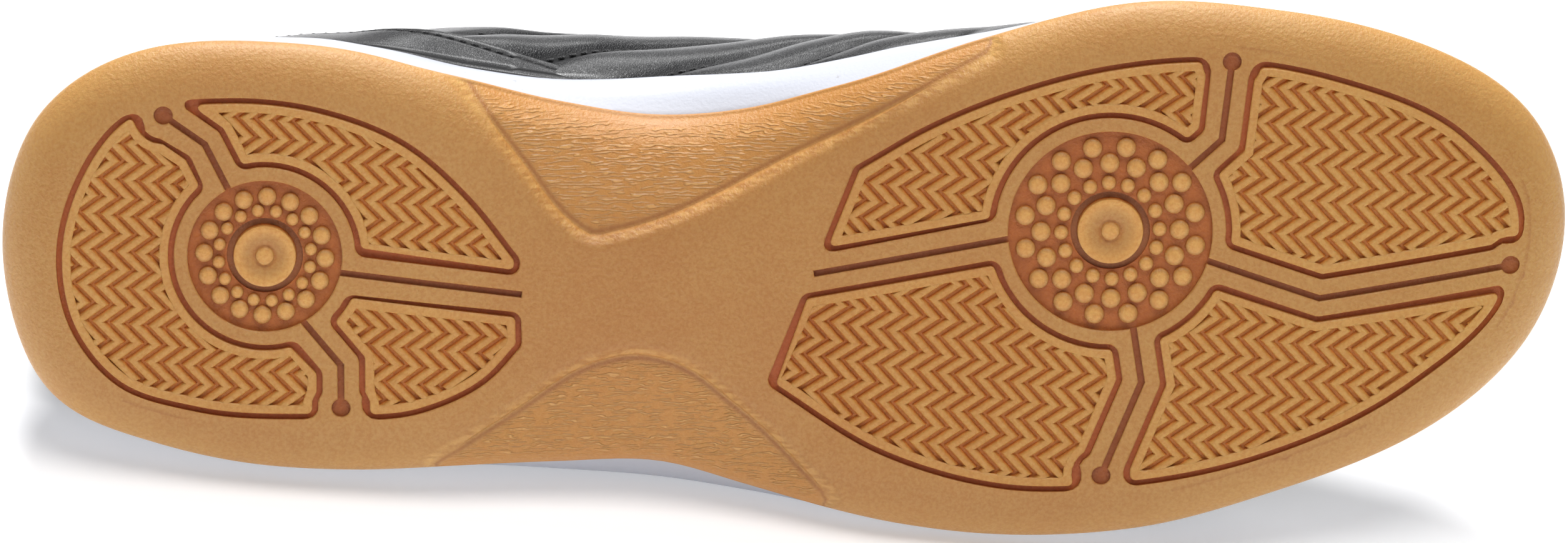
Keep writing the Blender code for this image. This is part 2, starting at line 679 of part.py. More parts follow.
def lace_leg(start, end, height, extra):
    """One flat run of lace from eyelet to eyelet, pulled tight over what lies under it."""
    overrun = (end - start) * LACE_OVERRUN / np.linalg.norm(end - start)
    start, end = start - overrun, end + overrun
    shares = np.linspace(0, 1, LACE_STEPS + 1)
    spots = start + np.outer(shares, end - start)
    side = np.array([end[1] - start[1], start[0] - end[0]])
    side *= LACE_HALF_WIDTH / np.linalg.norm(side)
    half_step = (end - start) / LACE_STEPS / 2
    near, middle, far = (
        [max(height(spot + side * o + half_step * a) for a in (-1, 0, 1)) for spot in spots] for o in (-1, 0, 1)
    )
    rests = [max(m, (n + f) / 2) + LACE_CLEARANCE + extra for n, m, f in zip(near, middle, far)]
    path = np.column_stack([spots, taut(shares, rests)])
    rises = [(f - n) / 2 for n, f in zip(near, far)]
    along = np.gradient(path, axis=0)
    turns = np.linspace(0, 2 * math.pi, LACE_SIDES, endpoint=False)
    rings = []
    for point, run, rise in zip(path, along, rises):
        flat = np.array([*side, rise])
        flat /= np.linalg.norm(flat)
        thick = np.cross(run, flat)
        thick /= np.linalg.norm(thick)
        wide = np.outer(np.cos(turns) * LACE_HALF_WIDTH, flat)
        rings.append(point + wide + np.outer(np.sin(turns) * LACE_HALF_THICKNESS, thick))
    return triangulated(loft(rings))


def laces(under):
    """The crossed lace: a bar at the lowest eyelets and two legs from each pair to the next."""
    height = height_over(under)
    places = np.linspace(EYELET_FIRST_X, EYELET_LAST_X, EYELET_PAIRS)
    inner = [throat_eyelet(x, INNER) for x in places]
    outer = [throat_eyelet(x, OUTER) for x in places]
    mesh = lace_leg(inner[0], outer[0], height, 0.0)
    for k in range(EYELET_PAIRS - 1):
        mesh = combined(mesh, lace_leg(inner[k], outer[k + 1], height, 0.0), "UNION")
        mesh = combined(mesh, lace_leg(outer[k], inner[k + 1], height, LACE_HALF_THICKNESS), "UNION")
    return mesh


# Assembly

def material(name):
    colour, roughness = FINISH[name]
    made = bpy.data.materials.new(name)
    made.use_nodes = True
    shader = made.node_tree.nodes["Principled BSDF"]
    shader.inputs["Base Color"].default_value = (*colour, 1)
    shader.inputs["Roughness"].default_value = roughness
    shader.inputs["Metallic"].default_value = 0.0
    return made


def named_object(name, mesh, collection):
    bm = bmesh.new()
    bm.from_mesh(mesh)
    bmesh.ops.scale(bm, verts=bm.verts, vec=(MM, MM, MM))
    bmesh.ops.remove_doubles(bm, verts=bm.verts, dist=MERGE * MM)
    bmesh.ops.dissolve_degenerate(bm, edges=bm.edges, dist=MERGE * MM)
    bmesh.ops.triangulate(bm, faces=bm.faces)
    bm.to_mesh(mesh)
    bm.free()
    mesh.name = name
    mesh.shade_smooth()
    mesh.set_sharp_from_angle(angle=math.radians(35))
    mesh.materials.append(material(name))
    obj = bpy.data.objects.new(name, mesh)
    collection.objects.link(obj)
    return obj


def volume_and_centre(mesh):
    bm = bmesh.new()
    bm.from_mesh(mesh)
    bmesh.ops.triangulate(bm, faces=bm.faces)
    corners = np.array([[v.co[:] for v in face.verts] for face in bm.faces])
    bm.free()
    parts = np.einsum("ij,ij->i", corners[:, 0], np.cross(corners[:, 1], corners[:, 2])) / 6
    return parts.sum(), (parts[:, None] * corners.sum(axis=1) / 4).sum(axis=0) / parts.sum()


def resting_place(objects):
    """The turn that lays the shoe on its outer side: onto the face of its hull under its weight."""
    bm = bmesh.new()
    weight, moment = 0.0, np.zeros(3)
    for obj in objects:
        volume, centre = volume_and_centre(obj.data)
        share = volume * DENSITY.get(obj.name, OVERLAY_DENSITY)
        weight += share
        moment += share * centre
        for v in obj.data.vertices:
            bm.verts.new(v.co)
    centre = Vector(moment / weight)
    hull = bmesh.ops.convex_hull(bm, input=bm.verts)["geom"]
    below = None
    for face in (f for f in hull if isinstance(f, bmesh.types.BMFace)):
        foot = centre + face.normal * (face.verts[0].co - centre).dot(face.normal)
        corners = [v.co for v in face.verts]
        inside = all(
            (b - a).cross(foot - a).dot(face.normal) > 0
            for a, b in zip(corners, corners[1:] + corners[:1])
        )
        if inside and face.normal.y > OUTER_FACING:
            below = face.normal.copy()
    bm.free()
    up = -below
    forward = (Vector((1, 0, 0)) - up * up.x).normalized()
    turn = Matrix((forward, up.cross(forward), up)).to_4x4()
    corners = np.array([(turn @ v.co)[:] for obj in objects for v in obj.data.vertices])
    low, high = corners.min(axis=0), corners.max(axis=0)
    return Matrix.Translation((-(low[0] + high[0]) / 2, -(low[1] + high[1]) / 2, -low[2])) @ turn


def main():
    for obj in list(bpy.data.objects):
        bpy.data.objects.remove(obj)
    shoe = bpy.data.collections.new("indoor_court_shoe")
    bpy.context.scene.collection.children.link(shoe)
    makers = (outsole, midsole, insole, upper, tongue, eyestay, heel_counter)
    meshes = {maker.__name__: maker() for maker in makers}
    meshes["laces"] = laces([meshes[name] for name in ("upper", "tongue", "eyestay")])
    pieces = [named_object(name, mesh, shoe) for name, mesh in meshes.items()]
    side = bpy.data.objects.new("on_its_side", None)
    shoe.objects.link(side)
    side.matrix_world = resting_place(pieces)
    for piece in pieces:
        piece.parent = side


main()
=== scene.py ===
"""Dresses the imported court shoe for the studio: gum tread, foam, leather, lining, laces and stitches.

Shapes are worked out in the shoe's own frame, in millimetres: x runs from the heel to the toe,
z up from the ground, and s across the shoe, positive to the inner side, so y = -s on a left shoe.
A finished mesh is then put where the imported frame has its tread, in metres.
"""

import json
import math

import bmesh
import bpy
import numpy as np
from mathutils import Matrix, Vector
from mathutils.bvhtree import BVHTree


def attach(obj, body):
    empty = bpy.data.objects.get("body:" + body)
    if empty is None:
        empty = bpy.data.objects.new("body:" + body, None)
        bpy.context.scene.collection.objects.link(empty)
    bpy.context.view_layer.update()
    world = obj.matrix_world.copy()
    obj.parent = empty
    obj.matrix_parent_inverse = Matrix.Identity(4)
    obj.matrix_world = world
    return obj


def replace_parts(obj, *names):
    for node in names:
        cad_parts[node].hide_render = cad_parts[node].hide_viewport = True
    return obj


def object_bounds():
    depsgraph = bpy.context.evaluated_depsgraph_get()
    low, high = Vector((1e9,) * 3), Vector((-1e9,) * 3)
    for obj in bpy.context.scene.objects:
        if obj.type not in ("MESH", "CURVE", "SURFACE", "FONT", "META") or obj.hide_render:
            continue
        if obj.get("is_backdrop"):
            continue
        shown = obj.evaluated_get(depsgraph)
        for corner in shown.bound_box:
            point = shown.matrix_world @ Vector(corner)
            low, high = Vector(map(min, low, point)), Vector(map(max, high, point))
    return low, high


bl_info = {
    "name": "Indoor Court Shoe",
    "version": (1, 0, 0),
    "blender": (4, 5, 0),
    "location": "3D View > Sidebar > Shoe",
    "description": "Builds the visible pieces of a left indoor court shoe on its packed frame",
    "category": "Object",
}

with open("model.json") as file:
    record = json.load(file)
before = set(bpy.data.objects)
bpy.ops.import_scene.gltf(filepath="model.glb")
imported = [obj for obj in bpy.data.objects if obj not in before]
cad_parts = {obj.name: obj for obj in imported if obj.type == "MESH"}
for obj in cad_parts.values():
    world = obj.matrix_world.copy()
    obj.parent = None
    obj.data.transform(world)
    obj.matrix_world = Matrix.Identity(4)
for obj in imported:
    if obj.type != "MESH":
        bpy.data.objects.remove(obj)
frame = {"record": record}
CAD_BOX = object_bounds()
MM = 0.001

# Sole. Columns: station x, then for the gum outline, the midsole's widest line and the bite line
# the inner and the outer side, and the height of the midsole's rim without toe spring.
SOLE_LENGTH = 290.0
SOLE_STATIONS = (
    (0.0, -0.5, -0.5, -0.5, -0.5, -0.5, -0.5, 28.0),
    (7.5, 24.8, -26.8, 23.4, -26.2, 20.2, -23.3, 27.8),
    (28.0, 37.2, -37.6, 34.8, -37.2, 30.0, -33.0, 27.0),
    (49.0, 38.4, -42.0, 36.0, -41.6, 31.6, -36.8, 26.2),
    (65.0, 36.7, -42.8, 35.0, -42.9, 31.4, -38.0, 25.6),
    (84.0, 31.6, -42.2, 31.0, -44.0, 27.8, -39.4, 25.0),
    (103.0, 26.1, -42.0, 27.8, -45.4, 25.4, -40.9, 24.3),
    (122.0, 23.3, -42.3, 27.0, -47.0, 25.4, -42.5, 23.6),
    (138.0, 24.8, -46.6, 28.7, -49.4, 26.7, -44.5, 22.8),
    (153.7, 29.4, -50.6, 31.4, -52.0, 28.9, -46.8, 22.0),
    (181.5, 39.0, -55.0, 38.0, -54.8, 33.6, -49.0, 20.8),
    (209.0, 45.7, -54.1, 43.6, -53.4, 38.2, -47.2, 20.0),
    (237.0, 43.9, -47.0, 42.0, -46.4, 36.8, -40.6, 19.6),
    (265.0, 36.0, -35.8, 34.4, -35.2, 30.0, -30.2, 19.4),
    (282.0, 24.4, -21.4, 23.4, -21.0, 20.0, -17.8, 19.4),
    (290.0, 2.5, 2.5, 2.5, 2.5, 2.5, 2.5, 19.4),
)
GUM_COLUMN, SIDE_COLUMN, BITE_COLUMN, RIM_COLUMN = 1, 3, 5, 7
LOOP_ENDS = {GUM_COLUMN: (0.0, 290.0), SIDE_COLUMN: (0.8, 289.2), BITE_COLUMN: (6.0, 283.5)}
GAP = 0.3
GUM_THICKNESS = 7.0
EDGE_ROUND, EDGE_RISE = 12.5, 5.6
TOP_INSET = 1.0
TOE_SPRING, SPRING_START = 11.0, 205.0
HEEL_BEVEL, HEEL_BEVEL_LENGTH = 2.5, 24.0
ARCH_X, ARCH_REACH, ARCH_CENTRE = 120.0, 46.0, 0.8
ARCH_INNER_RISE, ARCH_INNER_BREADTH = 6.0, 25.0
ARCH_OUTER_RISE, ARCH_OUTER_BREADTH = 3.5, 40.0
RIM_DEPTH, RIM_CHAMFER = 5.0, 0.5
# Width of the midsole's rim outside the leather. Columns: x, mm.
RIM_WIDTHS = (
    (48.0, 3.0), (59.0, 2.5), (67.0, 1.5), (76.0, 1.2), (100.0, 1.25), (112.0, 1.8),
    (125.0, 2.2), (134.0, 1.9), (144.0, 1.5), (156.0, 1.9), (166.0, 2.5),
)
WALL_LEVEL = 0.45

# Where the frame's two rest faces lie in the shoe's plan.
FOREFOOT_REST = (176.0, -24.0)
HEEL_REST = (62.0, 14.0)

# Tread fields, pivots (x, s, recess radius, button radius) and spokes (points, ends in a dot).
FOREFOOT_FIELD = (
    (157.8, 15.9), (171.5, 23.9), (189.0, 31.0), (204.0, 34.9), (222.0, 36.6), (247.0, 32.4), (271.0, 20.8),
    (281.8, 6.0), (278.2, -11.4), (261.5, -26.8), (232.3, -40.2), (209.0, -44.8), (186.0, -45.4),
    (162.5, -38.7), (141.4, -25.6),
)
HEEL_FIELD = (
    (96.0, -1.5), (86.8, 10.3), (75.1, 20.7), (60.6, 26.7), (42.0, 28.9), (23.4, 25.7), (13.2, 11.5),
    (10.3, -1.6), (12.8, -15.0), (21.3, -25.6), (36.0, -30.6), (57.7, -32.0), (78.0, -30.8),
    (90.0, -25.0), (96.3, -18.2),
)
FOREFOOT_PIVOT = (205.1, 3.7, 18.9, 6.1)
HEEL_PIVOT = (48.9, -1.0, 14.3, 5.8)
FOREFOOT_SPOKES = (
    (((218.5, 14.5), (225.6, 20.9), (227.4, 35.6)), True),
    (((221.5, -1.4), (243.9, -9.5), (279.5, -4.6)), True),
    (((209.2, -13.0), (211.0, -24.9), (203.6, -42.7)), True),
    (((188.0, 2.6), (150.2, -4.4)), False),
)
HEEL_SPOKES = (
    (((42.6, 11.0), (38.0, 20.2), (30.4, 25.6)), True),
    (((55.8, -13.2), (62.8, -21.7), (62.8, -29.8)), True),
    (((61.8, -4.0), (96.5, -8.4)), False),
)
# Rings of studs in each pivot. Columns: ring radius, stud radius, turn of the first stud in degrees.
FOREFOOT_STUDS = ((16.0, 1.84, 79.6), (12.8, 1.84, 90.7), (9.1, 1.36, 91.9))
HEEL_STUDS = ((11.2, 1.72, 87.3), (8.6, 1.18, 98.1))
STUDS_PER_RING, STUD_DOME = 16, 0.75
# Where one rib's point lies in each field, and how far the ribs are turned, in degrees.
FOREFOOT_LATTICE = (195.7, -22.6, -7.5)
HEEL_LATTICE = (20.6, 10.2, -5.0)
# The waist's two sides: plan points of their edges beside the bridge, and how far out a side is cut.
WAIST_INNER = (
    (84.0, 34.0), (97.0, 16.5), (106.0, 5.5), (109.5, 3.2), (114.0, 4.0), (150.0, 20.0), (183.0, 37.5),
)
WAIST_OUTER = (
    (80.0, -41.0), (94.4, -31.8), (110.4, -22.1), (116.5, -20.8), (124.0, -22.1), (136.0, -30.6),
    (153.0, -47.5),
)
WAIST_BEYOND = 70.0
GROOVE_WIDTH, PANEL_RIM = 1.1, 1.6
PIVOT_LAND, SPOKE_LAND, DOT_LAND = 2.5, 3.4, 4.4
SPOKE_HALF_WIDTH, SPOKE_RUN_OUT, DOT_RADIUS = 0.62, 12.0, 1.75
GROOVE_DEPTH, POCKET_DEPTH, PIVOT_DEPTH, MOAT_DEPTH, MOAT_WIDTH = 1.6, 1.35, 1.25, 1.9, 1.25
# The soft step from the waist's bridge to its sunken sides. Columns: how far in, how far up into the gum.
WAIST_STEPS = ((1.2, 0.15), (1.0, 0.5), (0.35, 0.65), (0.5, 0.05))
SPOKE_DEPTH, DOT_DEPTH = 1.0, 1.02
EDGE_SOFTNESS, SPOKE_SOFTNESS = 0.2, 0.16
# Where cutters start below the ground, the longest stretch of gum left flat, and a panel's shortest edge.
OUTSIDE = -1.0
LARGEST_STEP = 4.0
SHORTEST_EDGE = 0.9
# How a panel's corners are rounded: its own radius, the least, the furthest back that a curve starts, and
# the least turn that counts as a corner.
PANEL_ROUND, SMALLEST_ROUND, LARGEST_EASE, CORNER_TURN = 0.9, 0.4, 3.6, math.radians(26.0)

# Upper. Columns: station x of the bite line, side, top line x, s and z, outward lean at the bite line
# and downward slope at the top line in degrees, and the shares of the chord over which each acts.
INNER, OUTER = 1, -1
UPPER_STATIONS = (
    (0.0, INNER, 9.5, -1.5, 79.0, 10.0, 82.0, 0.36, 0.30),
    (20.0, INNER, 22.0, 17.5, 74.0, 9.0, 80.0, 0.35, 0.30),
    (60.0, INNER, 58.0, 24.0, 65.0, 14.0, 76.0, 0.35, 0.30),
    (95.0, INNER, 91.0, 25.5, 68.0, 25.0, 72.0, 0.36, 0.32),
    (122.0, INNER, 111.0, 20.0, 82.0, 15.5, 66.0, 0.36, 0.34),
    (160.0, INNER, 141.0, 17.5, 79.5, 11.0, 56.0, 0.34, 0.33),
    (183.0, INNER, 160.0, 15.5, 74.0, 10.0, 50.0, 0.30, 0.34),
    (209.0, INNER, 178.0, 12.5, 67.0, 8.0, 40.0, 0.28, 0.38),
    (250.0, INNER, 190.5, 9.2, 63.8, 8.0, 29.0, 0.22, 0.46),
    (290.0, INNER, 198.5, 0.0, 61.5, 8.0, 22.0, 0.19, 0.50),
    (250.0, OUTER, 190.5, -9.4, 63.2, 8.0, 29.0, 0.22, 0.46),
    (209.0, OUTER, 178.0, -13.5, 65.5, 8.0, 38.0, 0.30, 0.40),
    (160.0, OUTER, 142.0, -18.5, 77.0, 6.0, 44.0, 0.32, 0.38),
    (122.0, OUTER, 113.0, -22.5, 79.5, 4.0, 58.0, 0.34, 0.36),
    (95.0, OUTER, 93.0, -28.0, 66.5, 2.0, 70.0, 0.35, 0.33),
    (60.0, OUTER, 60.0, -28.0, 63.0, 2.0, 78.0, 0.35, 0.30),
    (20.0, OUTER, 23.0, -20.5, 73.5, 7.0, 80.0, 0.35, 0.30),
)
TOP_NORMAL_PULL = 30.0
# How much fuller the inner side is than its smooth line, at the height of its belly. Columns: x, mm.
INNER_FULLNESS = (
    (20.0, 0.0), (36.0, -0.6), (47.0, -0.3), (55.0, 0.1), (64.0, 0.2), (72.0, 1.3), (82.0, 2.3),
    (90.0, 1.9), (99.0, 1.1), (110.0, 1.4), (118.0, 0.8), (126.0, 0.2), (136.0, -0.5), (150.0, 0.0),
    (161.0, 0.6), (170.0, 0.2), (180.0, 0.6), (190.0, 0.5), (204.0, 0.0),
)
SKIRT_GAP = 0.4
WALL, COLLAR_PADDING, COLLAR_PADDING_DEPTH = 2.0, 6.0, 0.34
COLLAR_PADDING_FRONT, COLLAR_PADDING_FADE = 112.0, 0.25
COLLAR_PADDING_TURN = math.radians(112.0)
EYESTAY_WIDTH, EYESTAY_BACK = 15.0, 118.0
COUNTER_REACH, COUNTER_BOW = 108.0, 0.7
COUNTER_LOW, COUNTER_FRONT, COUNTER_BACK = 0.03, 0.07, 0.62
OVERLAY_THICKNESS = 0.9
INSOLE_THICKNESS, INSOLE_GAP = 4.0, 0.5
# Tongue. Columns: x, s of its middle, half breadth, height of its crown and of its edges.
TONGUE_STATIONS = (
    (207.0, 0.0, 9.0, 53.5, 51.5),
    (194.0, 0.0, 11.0, 58.5, 54.5),
    (178.0, -0.5, 15.5, 66.0, 58.5),
    (160.0, -0.5, 18.5, 74.5, 64.0),
    (141.0, -0.5, 20.5, 82.5, 68.5),
    (122.0, -1.0, 19.5, 89.5, 72.0),
    (106.0, -1.5, 18.6, 96.0, 83.0),
    (98.0, -1.5, 17.0, 99.5, 89.0),
    (94.0, -1.5, 13.0, 101.2, 95.0),
)
TONGUE_THICKNESS = 4.0
EYELET_PAIRS, EYELET_FIRST_X, EYELET_LAST_X, EYELET_IN = 6, 186.0, 117.0, 6.5


# Settings

def colour_setting(name, description, default):
    return bpy.props.FloatVectorProperty(
        name=name, description=description, default=default, subtype="COLOR", size=3, min=0.0, max=1.0
    )


def size_setting(name, description, default):
    """A length in millimetres."""
    return bpy.props.FloatProperty(name=name, description=description, default=default, min=0.0)


def length_setting(name, description, default):
    """A length in metres."""
    return bpy.props.FloatProperty(
        name=name, description=description, default=default, subtype="DISTANCE", unit="LENGTH"
    )


def angle_setting(name, description, degrees):
    return bpy.props.FloatProperty(
        name=name, description=description, default=math.radians(degrees), subtype="ANGLE", unit="ROTATION"
    )


def linear(red, green, blue):
    """A colour in linear light from its everyday 0 to 255 values."""
    shares = (c / 255 for c in (red, green, blue))
    return tuple(c / 12.92 if c <= 0.04045 else ((c + 0.055) / 1.055) ** 2.4 for c in shares)


class GumSettings(bpy.types.PropertyGroup):
    """Colours and tread sizes of the gum outsole."""

    land: colour_setting("Land", "Colour of the gum's ground faces", linear(186, 140, 80))
    spoke: colour_setting("Spokes", "Colour of the spoke lines, dots and moats", linear(146, 74, 30))
    # The studs' tops are partly a painted highlight; their sides are painted in shade down to the pivots'
    # colour.
    stud: colour_setting("Studs", "Colour of the studs' and buttons' tops", linear(212, 162, 92))
    pivot: colour_setting("Pivots", "Colour of the floors of the pivots", linear(174, 94, 28))
    groove: colour_setting("Grooves", "Colour of the grooves around the panels", linear(194, 98, 44))
    rib: colour_setting("Ribs", "Colour of the herringbone's tops", linear(198, 150, 84))
    pocket: colour_setting("Pockets", "Colour between the herringbone ribs", linear(224, 148, 74))
    rib_pitch: size_setting("Rib pitch", "Distance from rib to rib along the shoe, in mm", 3.45)
    rib_period: size_setting("Rib period", "Length of one full zigzag across the shoe, in mm", 6.8)
    rib_swing: size_setting("Rib swing", "How far a rib swings from point to point, in mm", 3.95)
    rib_width: size_setting("Rib width", "Width of a rib at its foot, in mm", 1.75)


class FoamSettings(bpy.types.PropertyGroup):
    """Colour of the white midsole."""

    colour: colour_setting("Foam", "Colour of the moulded foam", linear(186, 189, 199))
    dirt: colour_setting("Dirt", "Colour of its specks and scuffs", linear(120, 112, 104))


class LeatherSettings(bpy.types.PropertyGroup):
    """Colours and quilting of the upper."""

    colour: colour_setting("Leather", "Colour of the black leather", linear(14, 14, 17))
    worn: colour_setting("Worn leather", "Colour of its raised, rubbed places", linear(27, 28, 31))
    lining: colour_setting("Lining", "Colour of the cloth lining", linear(38, 38, 41))
    thread: colour_setting("Thread", "Colour of the stitches", linear(22, 22, 24))
    channel: size_setting("Channel spacing", "Distance between the quilted channels' seams, in mm", 25.0)
    puff: size_setting("Puff", "How far a channel stands out between its seams, in mm", 1.8)
    stitch: size_setting("Stitch", "Length of one stitch, in mm", 1.8)


class LaceSettings(bpy.types.PropertyGroup):
    """Colour and size of the flat lace."""

    colour: colour_setting("Lace", "Colour of the woven lace", linear(34, 34, 37))
    width: size_setting("Width", "Width of the lace, in mm", 5.6)
    thickness: size_setting("Thickness", "Thickness of the lace, in mm", 0.8)


class StudioSettings(bpy.types.PropertyGroup):
    """The floor, and how the camera looks at the sole."""

    floor: colour_setting("Floor", "Colour of the floor", (0.86, 0.86, 0.87))
    tilt: angle_setting("View tilt", "How far the view leans from square-on to the inner side", 13.0)
    distance: length_setting("Distance", "From the camera to the sole", 2.6)
    width: length_setting("View width", "How much the view takes in at the sole", 0.2905)


# Shader expressions

class Wire:
    """A shader value that Python expressions can work with."""

    def __init__(self, paint, socket):
        self.paint = paint
        self.socket = socket

    def math(self, operation, first, second):
        return self.paint.node("ShaderNodeMath", {"operation": operation}, {0: first, 1: second})

    def __add__(self, other):
        return self.math("ADD", self, other)

    def __radd__(self, other):
        return self.math("ADD", other, self)

    def __sub__(self, other):
        return self.math("SUBTRACT", self, other)

    def __rsub__(self, other):
        return self.math("SUBTRACT", other, self)

    def __mul__(self, other):
        return self.math("MULTIPLY", self, other)

    def __rmul__(self, other):
        return self.math("MULTIPLY", other, self)


class Paint:
    """A material under construction around its Principled shader."""

    def __init__(self, name, fixed):
        self.material = bpy.data.materials.new(name)
        self.material.use_nodes = True
        self.tree = self.material.node_tree
        self.shader = self.tree.nodes["Principled BSDF"]
        for socket, value in fixed.items():
            self.shader.inputs[socket].default_value = value

    def node(self, kind, settings, inputs, output=0):
        """Any node: its settings first, then the values or links of its sockets."""
        made = self.tree.nodes.new(kind)
        for name, value in settings.items():
            if name == "stops":
                ramp = made.color_ramp
                while len(ramp.elements) < len(value):
                    ramp.elements.new(1.0)
                for element, (place, colour) in zip(ramp.elements, value):
                    element.position = place
                    element.color = (*colour, 1)
            else:
                setattr(made, name, value)
        for socket, value in inputs.items():
            if isinstance(value, Wire):
                self.tree.links.new(value.socket, made.inputs[socket])
            else:
                made.inputs[socket].default_value = value
        return Wire(self, made.outputs[output])

    def set(self, socket, value):
        self.tree.links.new(value.socket, self.shader.inputs[socket])

    def place(self):
        return self.node("ShaderNodeTexCoord", {}, {}, "Object")

    def surface(self, name):
        """The piece's own map of its surface."""
        return self.node("ShaderNodeUVMap", {"uv_map": name}, {})

    def attribute(self, name):
        return self.node("ShaderNodeAttribute", {"attribute_name": name}, {}, "Fac")

    def stretched(self, vector, scale):
        return self.node("ShaderNodeMapping", {}, {"Vector": vector, "Scale": scale})

    def noise(self, vector, scale, detail, roughness):
        inputs = {"Vector": vector, "Scale": scale, "Detail": detail, "Roughness": roughness}
        return self.node("ShaderNodeTexNoise", {}, inputs)

    def cell_edges(self, vector, scale):
        """How far a point lies from the nearest border between cells."""
        settings = {"feature": "DISTANCE_TO_EDGE"}
        return self.node("ShaderNodeTexVoronoi", settings, {"Vector": vector, "Scale": scale})

    def waves(self, vector, direction, scale, distortion, detail=2.0, detail_scale=1.0):
        """Soft bands that follow one another in a direction."""
        settings = {"wave_type": "BANDS", "bands_direction": direction, "wave_profile": "SIN"}
        inputs = {"Vector": vector, "Scale": scale, "Distortion": distortion}
        inputs |= {"Detail": detail, "Detail Scale": detail_scale}
        return self.node("ShaderNodeTexWave", settings, inputs, "Fac")

    def step(self, value, low, high):
        """0 below low, 1 above high, smooth between."""
        settings = {"interpolation_type": "SMOOTHSTEP"}
        return self.node("ShaderNodeMapRange", settings, {"Value": value, "From Min": low, "From Max": high})

    def ramp(self, value, stops):
        return self.node("ShaderNodeValToRGB", {"stops": stops}, {"Fac": value})

    def mix(self, share, first, second, blend="MIX"):
        """A colour between two."""
        settings = {"data_type": "RGBA", "blend_type": blend}
        first, second = ((*c, 1) if isinstance(c, tuple) else c for c in (first, second))
        return self.node("ShaderNodeMix", settings, {0: share, 6: first, 7: second}, 2)

    def bump(self, height, distance):
        """Relief whose height of 1 stands as far out as the distance, in metres."""
        self.set("Normal", self.node("ShaderNodeBump", {}, {"Height": height, "Distance": distance}))


# Curves and the shoe's surfaces

def hermite(knots, values, at, period=None):
    """Values of a smooth curve through the rows of values at the knots; a period closes it."""
    knots = np.asarray(knots, float)
    values = np.asarray(values, float).reshape(len(knots), -1)
    if period:
        knots = np.concatenate([knots[-2:] - period, knots, knots[:2] + period])
        values = np.concatenate([values[-2:], values, values[:2]])
    gaps = np.diff(knots)[:, None]
    chords = np.diff(values, axis=0) / gaps
    slopes = np.concatenate([chords[:1], chords[:-1], chords[-1:]])
    slopes[1:-1] = (gaps[1:] * chords[:-1] + gaps[:-1] * chords[1:]) / (gaps[1:] + gaps[:-1])
    at = np.asarray(at, float)
    row = np.clip(np.searchsorted(knots, at, side="right") - 1, 0, len(knots) - 2)
    gap = gaps[row]
    t = (at[:, None] - knots[row][:, None]) / gap
    return (
        (2 * t**3 - 3 * t**2 + 1) * values[row]
        + (t**3 - 2 * t**2 + t) * gap * slopes[row]
        + (3 * t**2 - 2 * t**3) * values[row + 1]
        + (t**3 - t**2) * gap * slopes[row + 1]
    )


def between(table, at):
    """The smooth value of a two-column table, level past its ends."""
    knots, values = zip(*table)
    return hermite(knots, values, np.clip(at, knots[0], knots[-1]))[:, 0]


def turn_angle(station, side=INNER):
    """Where a station lies on a loop that runs heel, inner side, toe, outer side."""
    angle = math.acos(1 - 2 * station / SOLE_LENGTH)
    return angle if side == INNER else math.tau - angle


def folded(theta):
    """Turn angles of the outer side laid on those of the inner side."""
    theta = theta % math.tau
    return np.where(theta > math.pi, math.tau - theta, theta)


def way_along(points):
    """How far along a path each of its points lies."""
    return np.concatenate([[0], np.cumsum(np.linalg.norm(np.diff(points, axis=0), axis=1))])


def smooth_path(points, spacing):
    """A smooth open path through points, sampled about one spacing apart."""
    points = np.asarray(points, float)
    knots = way_along(points)
    count = max(2, round(knots[-1] / spacing)) + 1
    return hermite(knots, points, np.linspace(0, knots[-1], count))


def smooth_step(value, low, high):
    t = np.clip((value - low) / (high - low), 0, 1)
    return t * t * (3 - 2 * t)


def unit(vectors):
    return vectors / np.linalg.norm(vectors, axis=-1, keepdims=True)


def left_of(along):
    """Plan directions turned a quarter to the left."""
    return np.stack([-along[:, 1], along[:, 0]], axis=1)


def mitres(before, after):
    """How a corner moves when the sides before and after it move along their unit normals."""
    return (before + after) / (1 + np.sum(before * after, axis=1))[:, None]


def turned_out(before, after):
    """Plan normals, to the outside, of a loop that runs from before to after."""
    return unit(left_of(after - before))


def around_sole(theta, inner, outer):
    """Smooth values at turn angles of two columns of the sole's stations, one for each side."""
    rows = np.array(SOLE_STATIONS)
    back = rows[-2:0:-1]
    knots = [turn_angle(x) for x in rows[:, 0]] + [turn_angle(x, OUTER) for x in back[:, 0]]
    return hermite(knots, np.concatenate([rows[:, inner], back[:, outer]]), theta, math.tau)[:, 0]


def sole_loop(column, theta):
    """Plan points (x, s) of one of the sole's loops."""
    theta = np.asarray(theta, float) % math.tau
    low, high = LOOP_ENDS[column]
    x = low + (high - low) * (1 - np.cos(theta)) / 2
    return np.column_stack([x, around_sole(theta, column, column + 1)])


# How far apart points are compared to find a loop's or the wall's direction, in radians and shares.
LOOP_STEP, WALL_STEP = 0.01, 0.004
TURN_SAMPLES = 721
# Where the inner side's belly swells and where it ends, in shares of the wall's height.
BELLY_FOOT, BELLY_HEAD = (0.05, 0.3), (0.55, 0.85)


def loop_normals(column, theta):
    return turned_out(sole_loop(column, theta - LOOP_STEP), sole_loop(column, theta + LOOP_STEP))


def grown_loop(column, theta, distance):
    """One of the sole's loops moved outwards."""
    return sole_loop(column, theta) + loop_normals(column, theta) * np.reshape(distance, (-1, 1))


def end_lift(x):
    """Toe spring and heel bevel: what the whole sole rises by towards its two ends."""
    toe = TOE_SPRING * np.maximum(0, (x - SPRING_START) / (SOLE_LENGTH - SPRING_START)) ** 2
    return toe + HEEL_BEVEL * np.maximum(0, 1 - x / HEEL_BEVEL_LENGTH) ** 2


